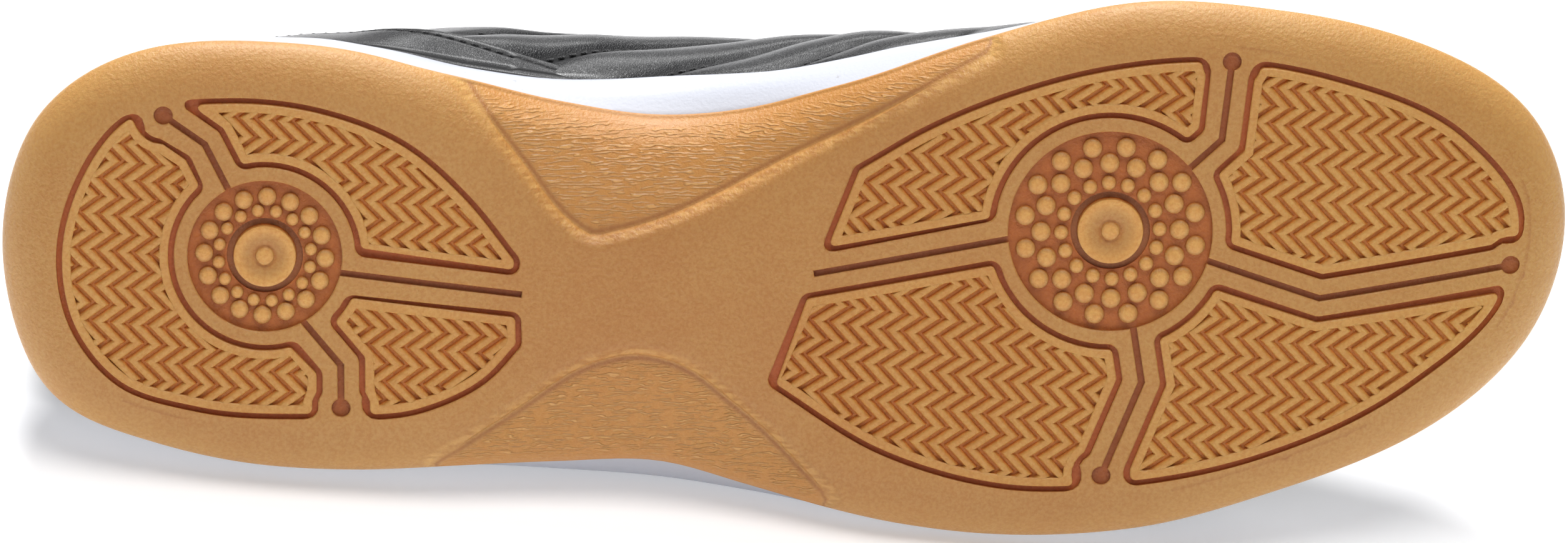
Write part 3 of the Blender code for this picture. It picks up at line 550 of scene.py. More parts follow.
def lift(x, s):
    """What the underside rises by above the ground: its two ends, and the arch at the waist."""
    along = np.maximum(0, 1 - ((x - ARCH_X) / ARCH_REACH) ** 2) ** 2
    inner = ARCH_INNER_RISE * (np.maximum(s, 0) / ARCH_INNER_BREADTH) ** 2
    outer = ARCH_OUTER_RISE * (np.maximum(-s, 0) / ARCH_OUTER_BREADTH) ** 2
    return end_lift(x) + along * (ARCH_CENTRE + inner + outer)


def rim_height(theta):
    """How high the foam's rim stands all around, above the ground."""
    theta = np.asarray(theta, float) % math.tau
    return around_sole(theta, RIM_COLUMN, RIM_COLUMN) + end_lift(sole_loop(BITE_COLUMN, theta)[:, 0])


def spatial(plan, z):
    """Points of the shoe from plan points (x, s) and their height."""
    return np.column_stack([plan[:, 0], -plan[:, 1], np.broadcast_to(z, len(plan))])


def wall_lines(theta):
    """The four points that shape the wall's line at each turn angle, and the length of its chord."""
    rows = np.array(UPPER_STATIONS)
    knots = [turn_angle(x, side) for x, side in rows[:, :2]]
    theta = theta % math.tau
    table = hermite(knots, rows[:, 2:], theta, math.tau)
    top, (lean, slope, rise, crown) = table[:, :3], table[:, 3:].T
    before, after = (
        hermite(knots, rows[:, 2:4], (theta + d) % math.tau, math.tau) for d in (-LOOP_STEP, LOOP_STEP)
    )
    bite = sole_loop(BITE_COLUMN, theta)
    bite_out = loop_normals(BITE_COLUMN, theta)
    top_out = unit(turned_out(before, after) * TOP_NORMAL_PULL + bite - top[:, :2])
    low = np.column_stack([bite - bite_out * SKIRT_GAP, rim_height(theta)])
    chord = np.linalg.norm(top - low, axis=1)
    lean, slope = np.radians(lean), np.radians(slope)
    leave = np.column_stack([bite_out * np.sin(lean)[:, None], np.cos(lean)]) * (rise * chord)[:, None]
    meet = np.column_stack([top_out * np.cos(slope)[:, None], -np.sin(slope)]) * (crown * chord)[:, None]
    return low, low + leave, top + meet, top, chord


def wall_point(theta, t):
    """Points of the upper's smooth outer face at turn angles and heights t, from 0 at the rim to 1."""
    low, leave, meet, top, _ = wall_lines(theta)
    height = np.asarray(t, float)
    t = height[:, None]
    made = (1 - t) ** 3 * low + 3 * t * (1 - t) ** 2 * leave + 3 * t**2 * (1 - t) * meet + t**3 * top
    belly = smooth_step(height, *BELLY_FOOT) * (1 - smooth_step(height, *BELLY_HEAD))
    made[:, 1] += np.where(made[:, 1] > 0, between(INNER_FULLNESS, made[:, 0]) * belly, 0)
    return made * (1, -1, 1)


def wall_frame(theta, t):
    """Points of the wall with their outward normals and the directions up the wall."""
    t = np.asarray(t, float)
    height = np.clip(t, WALL_STEP, 1 - WALL_STEP)
    around = wall_point(theta + WALL_STEP, height) - wall_point(theta - WALL_STEP, height)
    up = wall_point(theta, height + WALL_STEP) - wall_point(theta, height - WALL_STEP)
    return wall_point(theta, t), unit(np.cross(around, up)), unit(up)


def even_turns(share):
    """Turn angles at shares of the way around the bite line."""
    theta = np.linspace(0, math.tau, TURN_SAMPLES)
    way = way_along(sole_loop(BITE_COLUMN, theta))
    return np.interp(share * way[-1], way, theta)


def chord_lengths(theta):
    """Lengths of the wall's chords from the rim to the top line."""
    return wall_lines(theta)[-1]


def shoe_to_world():
    """The move from the shoe's own millimetres to the frame, from its two rest faces."""
    mounts = {mount["name"]: mount for mount in frame["record"]["mounts"]}
    fore, heel = (Vector(mounts[name]["pos_m"]) for name in ("forefoot_tread", "heel_tread"))
    up = -Vector(mounts["heel_tread"]["axis"]).normalized()
    plan = Vector((FOREFOOT_REST[0] - HEEL_REST[0], HEEL_REST[1] - FOREFOOT_REST[1]))
    forward = Matrix.Rotation(-math.atan2(plan.y, plan.x), 3, up) @ (fore - heel).normalized()
    turn = Matrix((forward, up.cross(forward), up)).transposed()
    start = heel - turn @ Vector((HEEL_REST[0], -HEEL_REST[1], 0)) * MM
    return Matrix.Translation(start) @ turn.to_4x4() @ Matrix.Diagonal((MM, MM, MM, 1))


PLACE = shoe_to_world()


# Mesh helpers

# Points closer than this are one.
SAME_PLACE = 0.0005


def mesh_of(bm):
    """A mesh from a bmesh, which is used up."""
    mesh = bpy.data.meshes.new("work")
    bm.to_mesh(mesh)
    bm.free()
    return mesh


def bmesh_of(mesh):
    """A bmesh from a mesh, which is used up."""
    bm = bmesh.new()
    bm.from_mesh(mesh)
    bpy.data.meshes.remove(mesh)
    return bm


def join(bm, other):
    """Adds another bmesh's faces to a bmesh."""
    mesh = mesh_of(other)
    bm.from_mesh(mesh)
    bpy.data.meshes.remove(mesh)


def combined(first, second, operation):
    """The Boolean of two closed bmeshes, which are used up."""
    objects = [bpy.data.objects.new("work", mesh_of(bm)) for bm in (first, second)]
    for obj in objects:
        bpy.context.scene.collection.objects.link(obj)
    modifier = objects[0].modifiers.new("boolean", "BOOLEAN")
    modifier.operation = operation
    modifier.object = objects[1]
    made = bpy.data.meshes.new_from_object(objects[0].evaluated_get(bpy.context.evaluated_depsgraph_get()))
    for obj in objects:
        bpy.data.meshes.remove(obj.data)
    return bmesh_of(made)


def plan_faces(outlines, z):
    """Flat faces over plan outlines (x, s), facing up."""
    bm = bmesh.new()
    for outline in outlines:
        face = bm.faces.new([bm.verts.new((x, -s, z)) for x, s in outline])
        face.normal_update()
        if face.normal.z < 0:
            face.normal_flip()
    return bm


def stepped(bm, steps):
    """Flat faces raised to a closed solid: each step is an inset and a rise; no inset goes straight."""
    faces = list(bm.faces)
    for inset, rise in steps:
        if inset:
            bmesh.ops.inset_region(
                bm, faces=faces, thickness=inset, depth=rise, use_even_offset=True, use_boundary=True
            )
        else:
            edges = list(dict.fromkeys(edge for face in faces for edge in face.edges))
            made = bmesh.ops.extrude_face_region(bm, geom=faces + edges)["geom"]
            faces = [g for g in made if isinstance(g, bmesh.types.BMFace)]
            verts = [g for g in made if isinstance(g, bmesh.types.BMVert)]
            bmesh.ops.translate(bm, verts=verts, vec=(0, 0, rise))
            for face in faces:
                face.normal_update()
    bmesh.ops.recalc_face_normals(bm, faces=bm.faces)
    return bm


def prism(outline, low, high):
    """An upright solid over a plan outline."""
    return stepped(plan_faces([outline], low), [(0, high - low)])


def disc(centre, radius, sides):
    """The plan outline of a circle."""
    turns = np.linspace(0, math.tau, sides, endpoint=False)
    return np.column_stack([centre[0] + radius * np.cos(turns), centre[1] + radius * np.sin(turns)])


def shrunk(plan, distance):
    """A closed plan outline moved inwards, its corners mitred."""
    plan = np.asarray(plan, float)
    after = np.roll(plan, -1, axis=0)
    area = np.sum(plan[:, 0] * after[:, 1] - after[:, 0] * plan[:, 1])
    inward = left_of(unit(after - plan)) * np.sign(area)
    return plan + mitres(np.roll(inward, 1, axis=0), inward) * distance


def strip(points, half_width):
    """The outline of a bent line of some width, its corners mitred."""
    points = np.asarray(points, float)
    side = left_of(unit(np.diff(points, axis=0)))
    reach = mitres(np.concatenate([side[:1], side]), np.concatenate([side, side[-1:]])) * half_width
    return np.concatenate([points + reach, (points - reach)[::-1]])


def inside(points, outline):
    """Which plan points lie inside a closed outline."""
    x, y = points[:, 0][:, None], points[:, 1][:, None]
    ax, ay = outline.T
    bx, by = np.roll(outline, -1, axis=0).T
    spans = (ay[None] > y) != (by[None] > y)
    with np.errstate(divide="ignore", invalid="ignore"):
        crossing = ax + (y - ay) / (by - ay) * (bx - ax)
    return np.sum(spans & (x < crossing), axis=1) % 2 == 1


def sliced(bm, normal, low, high):
    """Cuts a mesh's faces along parallel planes, so that they can bend."""
    normal = Vector(normal)
    for place in np.arange(low, high, LARGEST_STEP):
        geometry = bm.verts[:] + bm.edges[:] + bm.faces[:]
        bmesh.ops.bisect_plane(bm, geom=geometry, plane_co=normal * place, plane_no=normal)


def bent(bm):
    """Raises a flat tread piece by the sole's spring and arch."""
    bmesh.ops.triangulate(bm, faces=bm.faces)
    places = np.array([v.co[:] for v in bm.verts])
    for v, rise in zip(bm.verts, lift(places[:, 0], -places[:, 1])):
        v.co.z += rise
    return bm


def point_attribute(bm, name, values):
    """Gives each of a mesh's points a value that its material can read."""
    layer = bm.verts.layers.float.new(name)
    for v, value in zip(bm.verts, values):
        v[layer] = float(value)


def mapped_grid(columns, rows, place, map_name="surface", seam=None):
    """A grid whose points u, v from 0 to 1 go where place says, closed where they meet.

    Where seam is given, it says how dark each point is: painted shade along the quilt seams and an overlay's
    sewn line, and at an overlay's cut edge partly edge dye and partly painted shade.
    """
    bm = bmesh.new()
    bmesh.ops.create_grid(bm, x_segments=columns, y_segments=rows, size=0.5)
    flat = np.array([v.co[:2] for v in bm.verts]) + 0.5
    layer = bm.loops.layers.uv.new(map_name)
    for face in bm.faces:
        for loop in face.loops:
            loop[layer].uv = loop.vert.co.xy + Vector((0.5, 0.5))
    if seam:
        point_attribute(bm, "seam", seam(flat[:, 0], flat[:, 1]))
    for v, point in zip(bm.verts, place(flat[:, 0], flat[:, 1])):
        v.co = point
    bmesh.ops.remove_doubles(bm, verts=bm.verts, dist=SAME_PLACE)
    bmesh.ops.recalc_face_normals(bm, faces=bm.faces)
    return bm


def capped(bm):
    """Closes a mesh's open ends with flat faces."""
    bmesh.ops.holes_fill(bm, edges=[edge for edge in bm.edges if edge.is_boundary], sides=0)
    bmesh.ops.recalc_face_normals(bm, faces=bm.faces)
    return bm


def finished(name, bm, materials, sharp):
    """A piece of the shoe in the frame, from a bmesh in the shoe's millimetres; the floor flattens it.

    Edges that turn by more than sharp, in degrees, stay crisp.
    """
    bm.transform(PLACE)
    for v in bm.verts:
        v.co.z = max(v.co.z, 0.0)
    mesh = mesh_of(bm)
    mesh.name = name
    mesh.shade_smooth()
    mesh.set_sharp_from_angle(angle=math.radians(sharp))
    for material in materials:
        mesh.materials.append(material)
    obj = bpy.data.objects.new(name, mesh)
    bpy.context.scene.collection.objects.link(obj)
    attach(obj, "root")
    return obj


# Materials

# How the gum's tint changes from the heel over the bridge to the toe. Columns: share of the length, colour.
GUM_TINTS = (
    (0.0, linear(252, 252, 250)), (0.28, linear(252, 250, 246)), (0.42, linear(245, 236, 228)),
    (0.62, linear(250, 247, 240)), (1.0, linear(252, 255, 246)),
)
# What darkens the gum's clouds and grain; the painted light on the sole's upper edges and along the waist's
# rim, the colour of the waist's sides, the painted highlight on its ridges and the painted shade at the foot
# of its step.
CLOUD_TINT, GRAIN_TINT = linear(226, 176, 128), linear(226, 190, 146)
PAINTED_LIGHT_GUM, SIDE_GUM = linear(228, 182, 112), linear(196, 136, 66)
RIDGE_HIGHLIGHT_GUM, FOOT_SHADE_GUM = linear(248, 204, 138), linear(138, 76, 34)
# Where the waist's marks start and end, in millimetres past its edge, which are negative on the bridge,
# and in millimetres up from the ground.
SIDE_EDGE, SINK_EDGE = (0.3, 1.6), (-3.2, 0.0)
FOOT_IN, FOOT_OUT = (-0.45, 0.1), (0.1, 0.9)
RIM_IN, RIM_OUT = (-2.8, -1.4), (-1.0, -0.3)
RIDGE_LEVEL, SIDE_LEVEL, EDGE_LIGHT_LEVEL = (1.7, 3.6), (4.0, 5.4), (0.3, 3.0)
# The leather's colour between the pebbles of its grain, and the near black of its seams: painted shade along
# the quilt seams and the sewn lines, and at the overlays' cut edges partly edge dye and partly painted shade.
GRAIN_SHADE, SEAM_SHADE_AND_EDGE_DYE = linear(12, 12, 14), linear(4, 4, 5)


def gum_paint(name, stops, waist=False):
    """Honey-coloured gum whose colour goes through the stops as its pits get deeper."""
    glow = {"Subsurface Weight": 0.2, "Subsurface Radius": (1.0, 0.42, 0.16), "Subsurface Scale": 0.0016}
    paint = Paint(name, {"Specular IOR Level": 0.38, "Coat Weight": 0.08, "Coat Roughness": 0.3, **glow})
    place = paint.place()
    clouds = paint.noise(place, 42.0, 4.0, 0.6)
    grain = paint.noise(place, 1500.0, 3.0, 0.6)
    colour = paint.ramp(paint.attribute("pit"), stops)
    along = paint.node("ShaderNodeSeparateXYZ", {}, {0: place}, "X")
    colour = paint.mix(1.0, colour, paint.ramp(along * (1 / SOLE_LENGTH / MM) + 0.5, GUM_TINTS), "MULTIPLY")
    colour = paint.mix(paint.step(clouds, 0.35, 0.7) * 0.16, colour, CLOUD_TINT, "MULTIPLY")
    colour = paint.mix(paint.step(grain, 0.3, 0.7) * 0.45, colour, GRAIN_TINT, "MULTIPLY")
    height = grain * 0.6 + clouds * 0.2
    if waist:
        colour, height = waist_marks(paint, colour, height)
    paint.set("Base Color", colour)
    paint.set("Roughness", 0.36 + grain * 0.2)
    paint.bump(height, 0.0004)
    return paint.material


def waist_marks(paint, colour, height):
    """Adds to the gum the waist's wavy ridges with a painted highlight, a painted highlight along its rim,
    painted light on the sole's upper edges and painted shade at the foot of its step.
    """
    edge, level = paint.attribute("waist"), paint.attribute("level")
    plan = paint.stretched(paint.surface("plan"), (0.32, 1.0, 1.0))
    waves = paint.waves(plan, "Y", 46.0, 7.0, detail=1.0, detail_scale=2.2)
    broken = paint.step(paint.noise(plan, 105.0, 1.0, 0.5), 0.38, 0.6)
    sides = paint.step(edge, *SIDE_EDGE)
    ridges = sides * (1 - paint.step(level, *RIDGE_LEVEL)) * broken * paint.step(waves, 0.3, 0.95)
    below = 1 - paint.step(level, *SIDE_LEVEL)
    foot = below * paint.step(edge, *FOOT_IN) * (1 - paint.step(edge, *FOOT_OUT))
    # Painted highlight along the bridge's side of the step.
    rim = below * broken * paint.step(edge, *RIM_IN) * (1 - paint.step(edge, *RIM_OUT))
    # Painted light: outside the waist's sides the gum turns lighter the higher it stands up the sole's round
    # edge.
    upper_edge_light = (1 - sides) * paint.step(level, *EDGE_LIGHT_LEVEL)
    colour = paint.mix(upper_edge_light * 0.18 + rim * 0.3, colour, PAINTED_LIGHT_GUM)
    colour = paint.mix(sides * 0.5, colour, SIDE_GUM)
    # Painted highlight on the wrinkles' ridges, which also stand out in the bump.
    colour = paint.mix(ridges * 0.22, colour, RIDGE_HIGHLIGHT_GUM)
    # Painted shade in the crease at the foot of the step.
    colour = paint.mix(foot * 0.5, colour, FOOT_SHADE_GUM)
    return colour, height + ridges * 0.9 - below * paint.step(edge, *SINK_EDGE) * 2.0


def foam_paint(settings):
    """White moulded foam with a faint grain, specks and scuffs."""
    paint = Paint("white_foam", {"Coat Weight": 0.04})
    place = paint.place()
    grain = paint.noise(place, 1500.0, 2.0, 0.5)
    marks = paint.step(paint.noise(place, 420.0, 3.0, 0.55), 0.69, 0.76)
    lengthways = paint.stretched(place, (60.0, 240.0, 240.0))
    scuffs = paint.step(paint.noise(lengthways, 1.0, 4.0, 0.6), 0.66, 0.8)
    colour = paint.mix(marks * 0.5 + scuffs * 0.12, tuple(settings.colour), tuple(settings.dirt))
    paint.set("Base Color", colour)
    paint.set("Roughness", 0.5 + grain * 0.15)
    paint.bump(grain, 0.00006)
    return paint.material


def leather_paint(settings, name, grain_scale):
    """Black leather: fine pebbled grain, worn high places, a satin coat, and painted shade along its seams
    and cut edges.
    """
    paint = Paint(name, {"Specular IOR Level": 0.32, "Coat Roughness": 0.22})
    place, seam = paint.place(), paint.attribute("seam")
    pebbles = paint.step(paint.cell_edges(place, grain_scale), 0.0, 0.25)
    clouds = paint.noise(place, 60.0, 4.0, 0.6)
    colour = paint.mix(paint.step(clouds, 0.42, 0.72) * 0.5, tuple(settings.colour), tuple(settings.worn))
    colour = paint.mix((1 - pebbles) * 0.3, colour, GRAIN_SHADE)
    # Painted shade: along the seams, and at the cut edges where it is partly edge dye, the leather goes near
    # black, loses its coat and turns rough.
    paint.set("Base Color", paint.mix(seam * 0.85, colour, SEAM_SHADE_AND_EDGE_DYE))
    paint.set("Coat Weight", (1 - seam) * 0.2)
    paint.set("Roughness", 0.32 + clouds * 0.1 + seam * 0.5)
    paint.bump(pebbles, 0.00004)
    return paint.material


def cloth_paint(name, colour, threads, map_name=None, roughness=0.9):
    """Woven cloth: two sets of threads, fuzz and a little sheen."""
    paint = Paint(name, {"Roughness": roughness, "Sheen Weight": 0.25, "Sheen Roughness": 0.5})
    across = paint.surface(map_name) if map_name else paint.place()
    warp, weft = (paint.waves(across, direction, threads, 0.4) for direction in "XY")
    weave = warp * weft + paint.noise(paint.place(), 1800.0, 3.0, 0.6) * 0.4
    lighter = tuple(min(1.0, c * 2.4 + 0.012) for c in colour)
    paint.set("Base Color", paint.mix(paint.step(weave, 0.2, 0.9), colour, lighter))
    paint.bump(weave, 0.00016)
    return paint.material


# Gum outsole

# Plan steps along the fields' outlines and the waist's edges, and the sides of the round cuts.
FIELD_STEP, OUTLINE_STEP = 1.6, 2.0
PIVOT_SIDES, PIVOT_LAND_SIDES, DOT_SIDES, DOT_LAND_SIDES = 96, 72, 32, 26
# The blocks that panels are cut from reach this far up and down, and a face this near their top is on it.
BLOCK_REACH, BLOCK_OVERRUN, TOP_NEAR, TOP_FACING = 5.0, 1.0, 0.01, 0.9
CORNER_SEGMENTS, CROWDED = 4, 1.2
# The first cut and the widest cuts that let the gum bend.
SLICE_START, SLICE_REACH = 2.0, 60.0
PLATE_COLUMNS, PLATE_ROWS = 320, 11
# The gum's side above its round edge. Columns: inset, distance below the gum's top.
PLATE_SIDE = ((0.15, 0.5), (TOP_INSET, 0.0))
FIELD_MARGIN = 2.0
# One step of the gum's plan map, in millimetres.
PLAN_UNIT = 100.0
# How far a piece's foot reaches into the gum, and how far the panels stay back from the ground.
ROOT, RIB_ROOT, PANEL_BACK = 0.1, 0.05, 0.02
RIB_OVERRUN, RIB_BITE, RIB_CLIP = 12, 0.55, 1.0
# A rib's round top, from its foot. Columns: inset, and the rise, which is along z where there is no inset.
RIB_STEPS = ((0, -0.25), (0.2, 0.6), (0.16, 0.3), (0.18, 0.17))
# A pivot's button: its nub from the middle outwards, by radius and depth, and its edge, by the distance
# past the button's radius and depth.
BUTTON_NUB = ((0, 0.1), (1.0, 0.13), (1.55, 0.3), (1.8, 0.7), (2.05, 0.72), (2.4, 0.5), (3.2, 0.38))
BUTTON_EDGE = ((-1.4, 0.2), (-0.7, 0.06), (-0.35, 0.04), (-0.1, 0.16), (0.0, 0.42))
BUTTON_FLARE, BUTTON_SIDES = 0.1, 72
STUD_BACK, STUD_FLARE, STUD_ROWS, STUD_SIDES = 0.04, 0.05, 7, 20


def run_out(start, end):
    """The point where a straight line ends once it has run on past its end."""
    along = np.subtract(end, start)
    return tuple(end + along * SPOKE_RUN_OUT / np.linalg.norm(along))


def panel_faces(field, pivot, spokes, shrink, z):
    """Flat faces of a field's panels: its outline less the pivot and the spokes with their lands."""
    bm = prism(shrunk(smooth_path(field, FIELD_STEP), shrink), -BLOCK_REACH, BLOCK_REACH)
    holes = [disc(pivot, pivot[2] + PIVOT_LAND + shrink, PIVOT_LAND_SIDES)]
    for points, dotted in spokes:
        if dotted:
            holes.append(disc(points[-1], DOT_LAND + shrink, DOT_LAND_SIDES))
        else:
            points = (*points, run_out(*points))
        holes.append(strip(points, SPOKE_LAND + shrink))
    beyond = BLOCK_REACH + BLOCK_OVERRUN
    for hole in holes:
        bm = combined(bm, prism(hole, -beyond, beyond), "DIFFERENCE")
    top = BLOCK_REACH - TOP_NEAR
    kept = [face for face in bm.faces if face.normal.z > TOP_FACING and face.calc_center_median().z > top]
    bmesh.ops.delete(bm, geom=[face for face in bm.faces if face not in kept], context="FACES")
    bmesh.ops.dissolve_edges(bm, edges=[e for e in bm.edges if len(e.link_faces) == 2])
    bmesh.ops.remove_doubles(bm, verts=bm.verts, dist=SHORTEST_EDGE)
    round_corners(bm, max(SMALLEST_ROUND, PANEL_ROUND + GROOVE_WIDTH - shrink))
    for v in bm.verts:
        v.co.z = z
    return bm


def round_corners(bm, radius):
    """Rounds the corners of flat faces, clearing away the points that crowd them."""
    turns = {v: v.calc_edge_angle(0.0) for v in bm.verts}
    corners = {
        v: min(LARGEST_EASE, radius * math.tan(turn / 2)) for v, turn in turns.items() if turn > CORNER_TURN
    }
    places = [(v.co.copy(), ease) for v, ease in corners.items()]
    crowding = [
        v for v in bm.verts
        if v not in corners and any((v.co - place).length < CROWDED * ease for place, ease in places)
    ]
    bmesh.ops.dissolve_verts(bm, verts=crowding)
    for v, ease in corners.items():
        bmesh.ops.bevel(
            bm, geom=[v], offset=ease, affect="VERTICES", segments=CORNER_SEGMENTS, profile=0.5,
            material=-1, clamp_overlap=True
        )
    bmesh.ops.remove_doubles(bm, verts=bm.verts, dist=SHORTEST_EDGE / CORNER_SEGMENTS)


def sunk(faces, depth, softness=EDGE_SOFTNESS):
    """A cutter from faces at the outside: straight to the ground face, then a soft lip, then straight."""
    return stepped(faces, [(0, -OUTSIDE), (softness, softness), (0, depth - softness)])


TREADS = (
    (FOREFOOT_FIELD, FOREFOOT_PIVOT, FOREFOOT_SPOKES, FOREFOOT_LATTICE, FOREFOOT_STUDS),
    (HEEL_FIELD, HEEL_PIVOT, HEEL_SPOKES, HEEL_LATTICE, HEEL_STUDS),
)


def waist_outline(edge):
    """A side of the waist: its edge beside the bridge, closed far outside the sole."""
    path = smooth_path(edge, OUTLINE_STEP)
    beyond = math.copysign(WAIST_BEYOND, edge[0][1])
    return path, np.concatenate([path, [(edge[-1][0], beyond), (edge[0][0], beyond)]])


def waist_cutter(edge):
    """The soft step beside the waist's bridge, from the bridge's edge out past the sole's side."""
    outline = shrunk(waist_outline(edge)[1], -sum(run for run, _ in WAIST_STEPS))
    return stepped(plan_faces([outline], OUTSIDE), [(0, -OUTSIDE), *WAIST_STEPS])


def waist_distance(plan):
    """How far plan points lie inside the waist's sides, less than nothing on the bridge."""
    found = np.full(len(plan), -np.inf)
    for edge in (WAIST_INNER, WAIST_OUTER):
        path, outline = waist_outline(edge)
        start, run = path[:-1], np.diff(path, axis=0)
        share = np.clip(((plan[:, None] - start) * run).sum(-1) / (run**2).sum(-1), 0, 1)
        away = np.linalg.norm(plan[:, None] - start - share[..., None] * run, axis=-1).min(axis=1)
        found = np.maximum(found, np.where(inside(plan, outline), away, -away))
    return found


def gum_plate():
    """The outsole's plate with its round edge, before anything is cut from it."""
    turns = np.linspace(0, math.pi / 2, PLATE_ROWS)
    side_insets, side_drops = np.transpose(PLATE_SIDE)
    insets = np.append(EDGE_ROUND * (1 - np.sin(turns)), side_insets)
    levels = np.append(EDGE_RISE * (1 - np.cos(turns)), GUM_THICKNESS - side_drops)

    def place(u, v):
        row = np.rint(v * (len(levels) - 1)).astype(int)
        return spatial(grown_loop(GUM_COLUMN, math.tau * u, -insets[row]), levels[row])

    return capped(mapped_grid(PLATE_COLUMNS, len(levels) - 1, place))


def pit_attribute(bm, depth):
    """How deep each point lies, from 0 at the ground to 1 at the depth."""
    point_attribute(bm, "pit", [min(1.0, v.co.z / depth) for v in bm.verts])


def gum_land():
    """The outsole with its grooves, pivots, spokes, dots and stepped waist cut, raised to its spring."""
    bm = gum_plate()
    cutters = [waist_cutter(WAIST_INNER), waist_cutter(WAIST_OUTER)]
    for field, pivot, spokes, _, _ in TREADS:
        cutters.append(sunk(panel_faces(field, pivot, spokes, -EDGE_SOFTNESS, OUTSIDE), GROOVE_DEPTH))
        for radius, depth in ((pivot[2], PIVOT_DEPTH), (pivot[3] + MOAT_WIDTH, MOAT_DEPTH)):
            recess = disc(pivot, radius + EDGE_SOFTNESS, PIVOT_SIDES)
            cutters.append(sunk(plan_faces([recess], OUTSIDE), depth))
        for points, dotted in spokes:
            line = strip(points, SPOKE_HALF_WIDTH + SPOKE_SOFTNESS)
            cutters.append(sunk(plan_faces([line], OUTSIDE), SPOKE_DEPTH, SPOKE_SOFTNESS))
            if dotted:
                dot = disc(points[-1], DOT_RADIUS + EDGE_SOFTNESS, DOT_SIDES)
                cutters.append(sunk(plan_faces([dot], OUTSIDE), DOT_DEPTH))
    for cutter in cutters:
        bm = combined(bm, cutter, "DIFFERENCE")
    sliced(bm, (1, 0, 0), SLICE_START, SOLE_LENGTH)
    sliced(bm, (0, 1, 0), -SLICE_REACH, SLICE_REACH)
    places = np.array([v.co[:] for v in bm.verts])
    plan = places[:, :2] * (1, -1)
    tread = np.zeros(len(plan), bool)
    for field, *_ in TREADS:
        tread |= inside(plan, shrunk(smooth_path(field, OUTLINE_STEP), -FIELD_MARGIN))
    point_attribute(bm, "pit", np.where(tread, np.clip(places[:, 2] / MOAT_DEPTH, 0, 1), 0))
    point_attribute(bm, "level", places[:, 2])
    point_attribute(bm, "waist", waist_distance(plan))
    layer = bm.loops.layers.uv.new("plan")
    for face in bm.faces:
        for loop in face.loops:
            loop[layer].uv = (loop.vert.co.x / PLAN_UNIT, -loop.vert.co.y / PLAN_UNIT)
    return bent(bm)


def tread_panels(field, pivot, spokes):
    """The panels of a field: a rim around a sunken pocket, standing in the groove."""
    foot = GROOVE_DEPTH + ROOT
    bm = panel_faces(field, pivot, spokes, GROOVE_WIDTH, foot)
    bmesh.ops.reverse_faces(bm, faces=bm.faces)
    bm = stepped(bm, [(0, EDGE_SOFTNESS - foot), (EDGE_SOFTNESS, EDGE_SOFTNESS - PANEL_BACK)])
    pocket = panel_faces(field, pivot, spokes, GROOVE_WIDTH + PANEL_RIM - EDGE_SOFTNESS, OUTSIDE)
    bm = combined(bm, sunk(pocket, POCKET_DEPTH), "DIFFERENCE")
    sliced(bm, (1, 0, 0), SLICE_START, SOLE_LENGTH)
    pit_attribute(bm, POCKET_DEPTH)
    return bent(bm)


def rib_outlines(field, lattice, settings):
    """Zigzag strips across a field, all on one lattice."""
    x, s, degrees = lattice
    turn = math.radians(degrees)
    along = np.array([math.cos(turn), math.sin(turn)])
    across = np.array([-along[1], along[0]])
    reach = np.asarray(field) - (x, s)
    low, high = reach.min(axis=0) - RIB_OVERRUN, reach.max(axis=0) + RIB_OVERRUN
    half = settings.rib_period / 2
    outlines = []
    for row in range(math.floor(low[0] / settings.rib_pitch), math.ceil(high[0] / settings.rib_pitch)):
        points = []
        for k in range(math.floor(low[1] / half), math.ceil(high[1] / half)):
            swing = 0 if k % 2 == 0 else -settings.rib_swing
            points.append((x, s) + along * (row * settings.rib_pitch + swing) + across * k * half)
        outlines.append(strip(points, settings.rib_width / 2))
    return outlines


def herringbone(field, pivot, spokes, lattice, settings):
    """The ribs in a field's pockets: round-topped zigzags that run into the rims."""
    foot = POCKET_DEPTH + RIB_ROOT
    bm = plan_faces(rib_outlines(field, lattice, settings), foot)
    bmesh.ops.reverse_faces(bm, faces=bm.faces)
    ribs = stepped(bm, RIB_STEPS)
    clip = panel_faces(field, pivot, spokes, GROOVE_WIDTH + PANEL_RIM - RIB_BITE, OUTSIDE)
    bm = combined(ribs, stepped(clip, [(0, foot + RIB_CLIP - OUTSIDE)]), "INTERSECT")
    pit_attribute(bm, POCKET_DEPTH)
    return bent(bm)


def turned(profile, centre, sides):
    """A solid of revolution from (radius, z) points, about an upright axis at a plan point."""
    bm = bmesh.new()
    verts = [bm.verts.new((centre[0] + r, -centre[1], z)) for r, z in profile]
    edges = [bm.edges.new(pair) for pair in zip(verts, verts[1:])]
    bmesh.ops.spin(
        bm, geom=verts + edges, cent=(centre[0], -centre[1], 0), axis=(0, 0, 1), angle=math.tau,
        steps=sides, use_merge=True
    )
    bmesh.ops.remove_doubles(bm, verts=bm.verts, dist=SAME_PLACE)
    bmesh.ops.recalc_face_normals(bm, faces=bm.faces)
    return bm


def pivot_pieces(pivot, studs):
    """A pivot's dished button with its moat and nub, and its rings of studs."""
    x, s, _, button = pivot
    floor, moat = PIVOT_DEPTH + ROOT, MOAT_DEPTH + ROOT
    edge = [(button + past, depth) for past, depth in BUTTON_EDGE]
    whole = turned([*BUTTON_NUB, *edge, (button + BUTTON_FLARE, moat), (0, moat)], (x, s), BUTTON_SIDES)
    turns = np.linspace(0, math.pi / 2, STUD_ROWS)
    for ring, radius, first in studs:
        dome = np.column_stack([radius * np.sin(turns), STUD_BACK + STUD_DOME * (1 - np.cos(turns))])
        profile = [*dome, (radius + STUD_FLARE, floor), (0, floor)]
        for k in range(STUDS_PER_RING):
            turn = math.radians(first + 360 / STUDS_PER_RING * k)
            centre = (x + ring * math.cos(turn), s + ring * math.sin(turn))
            join(whole, turned(profile, centre, STUD_SIDES))
    pit_attribute(whole, MOAT_DEPTH)
    return bent(whole)


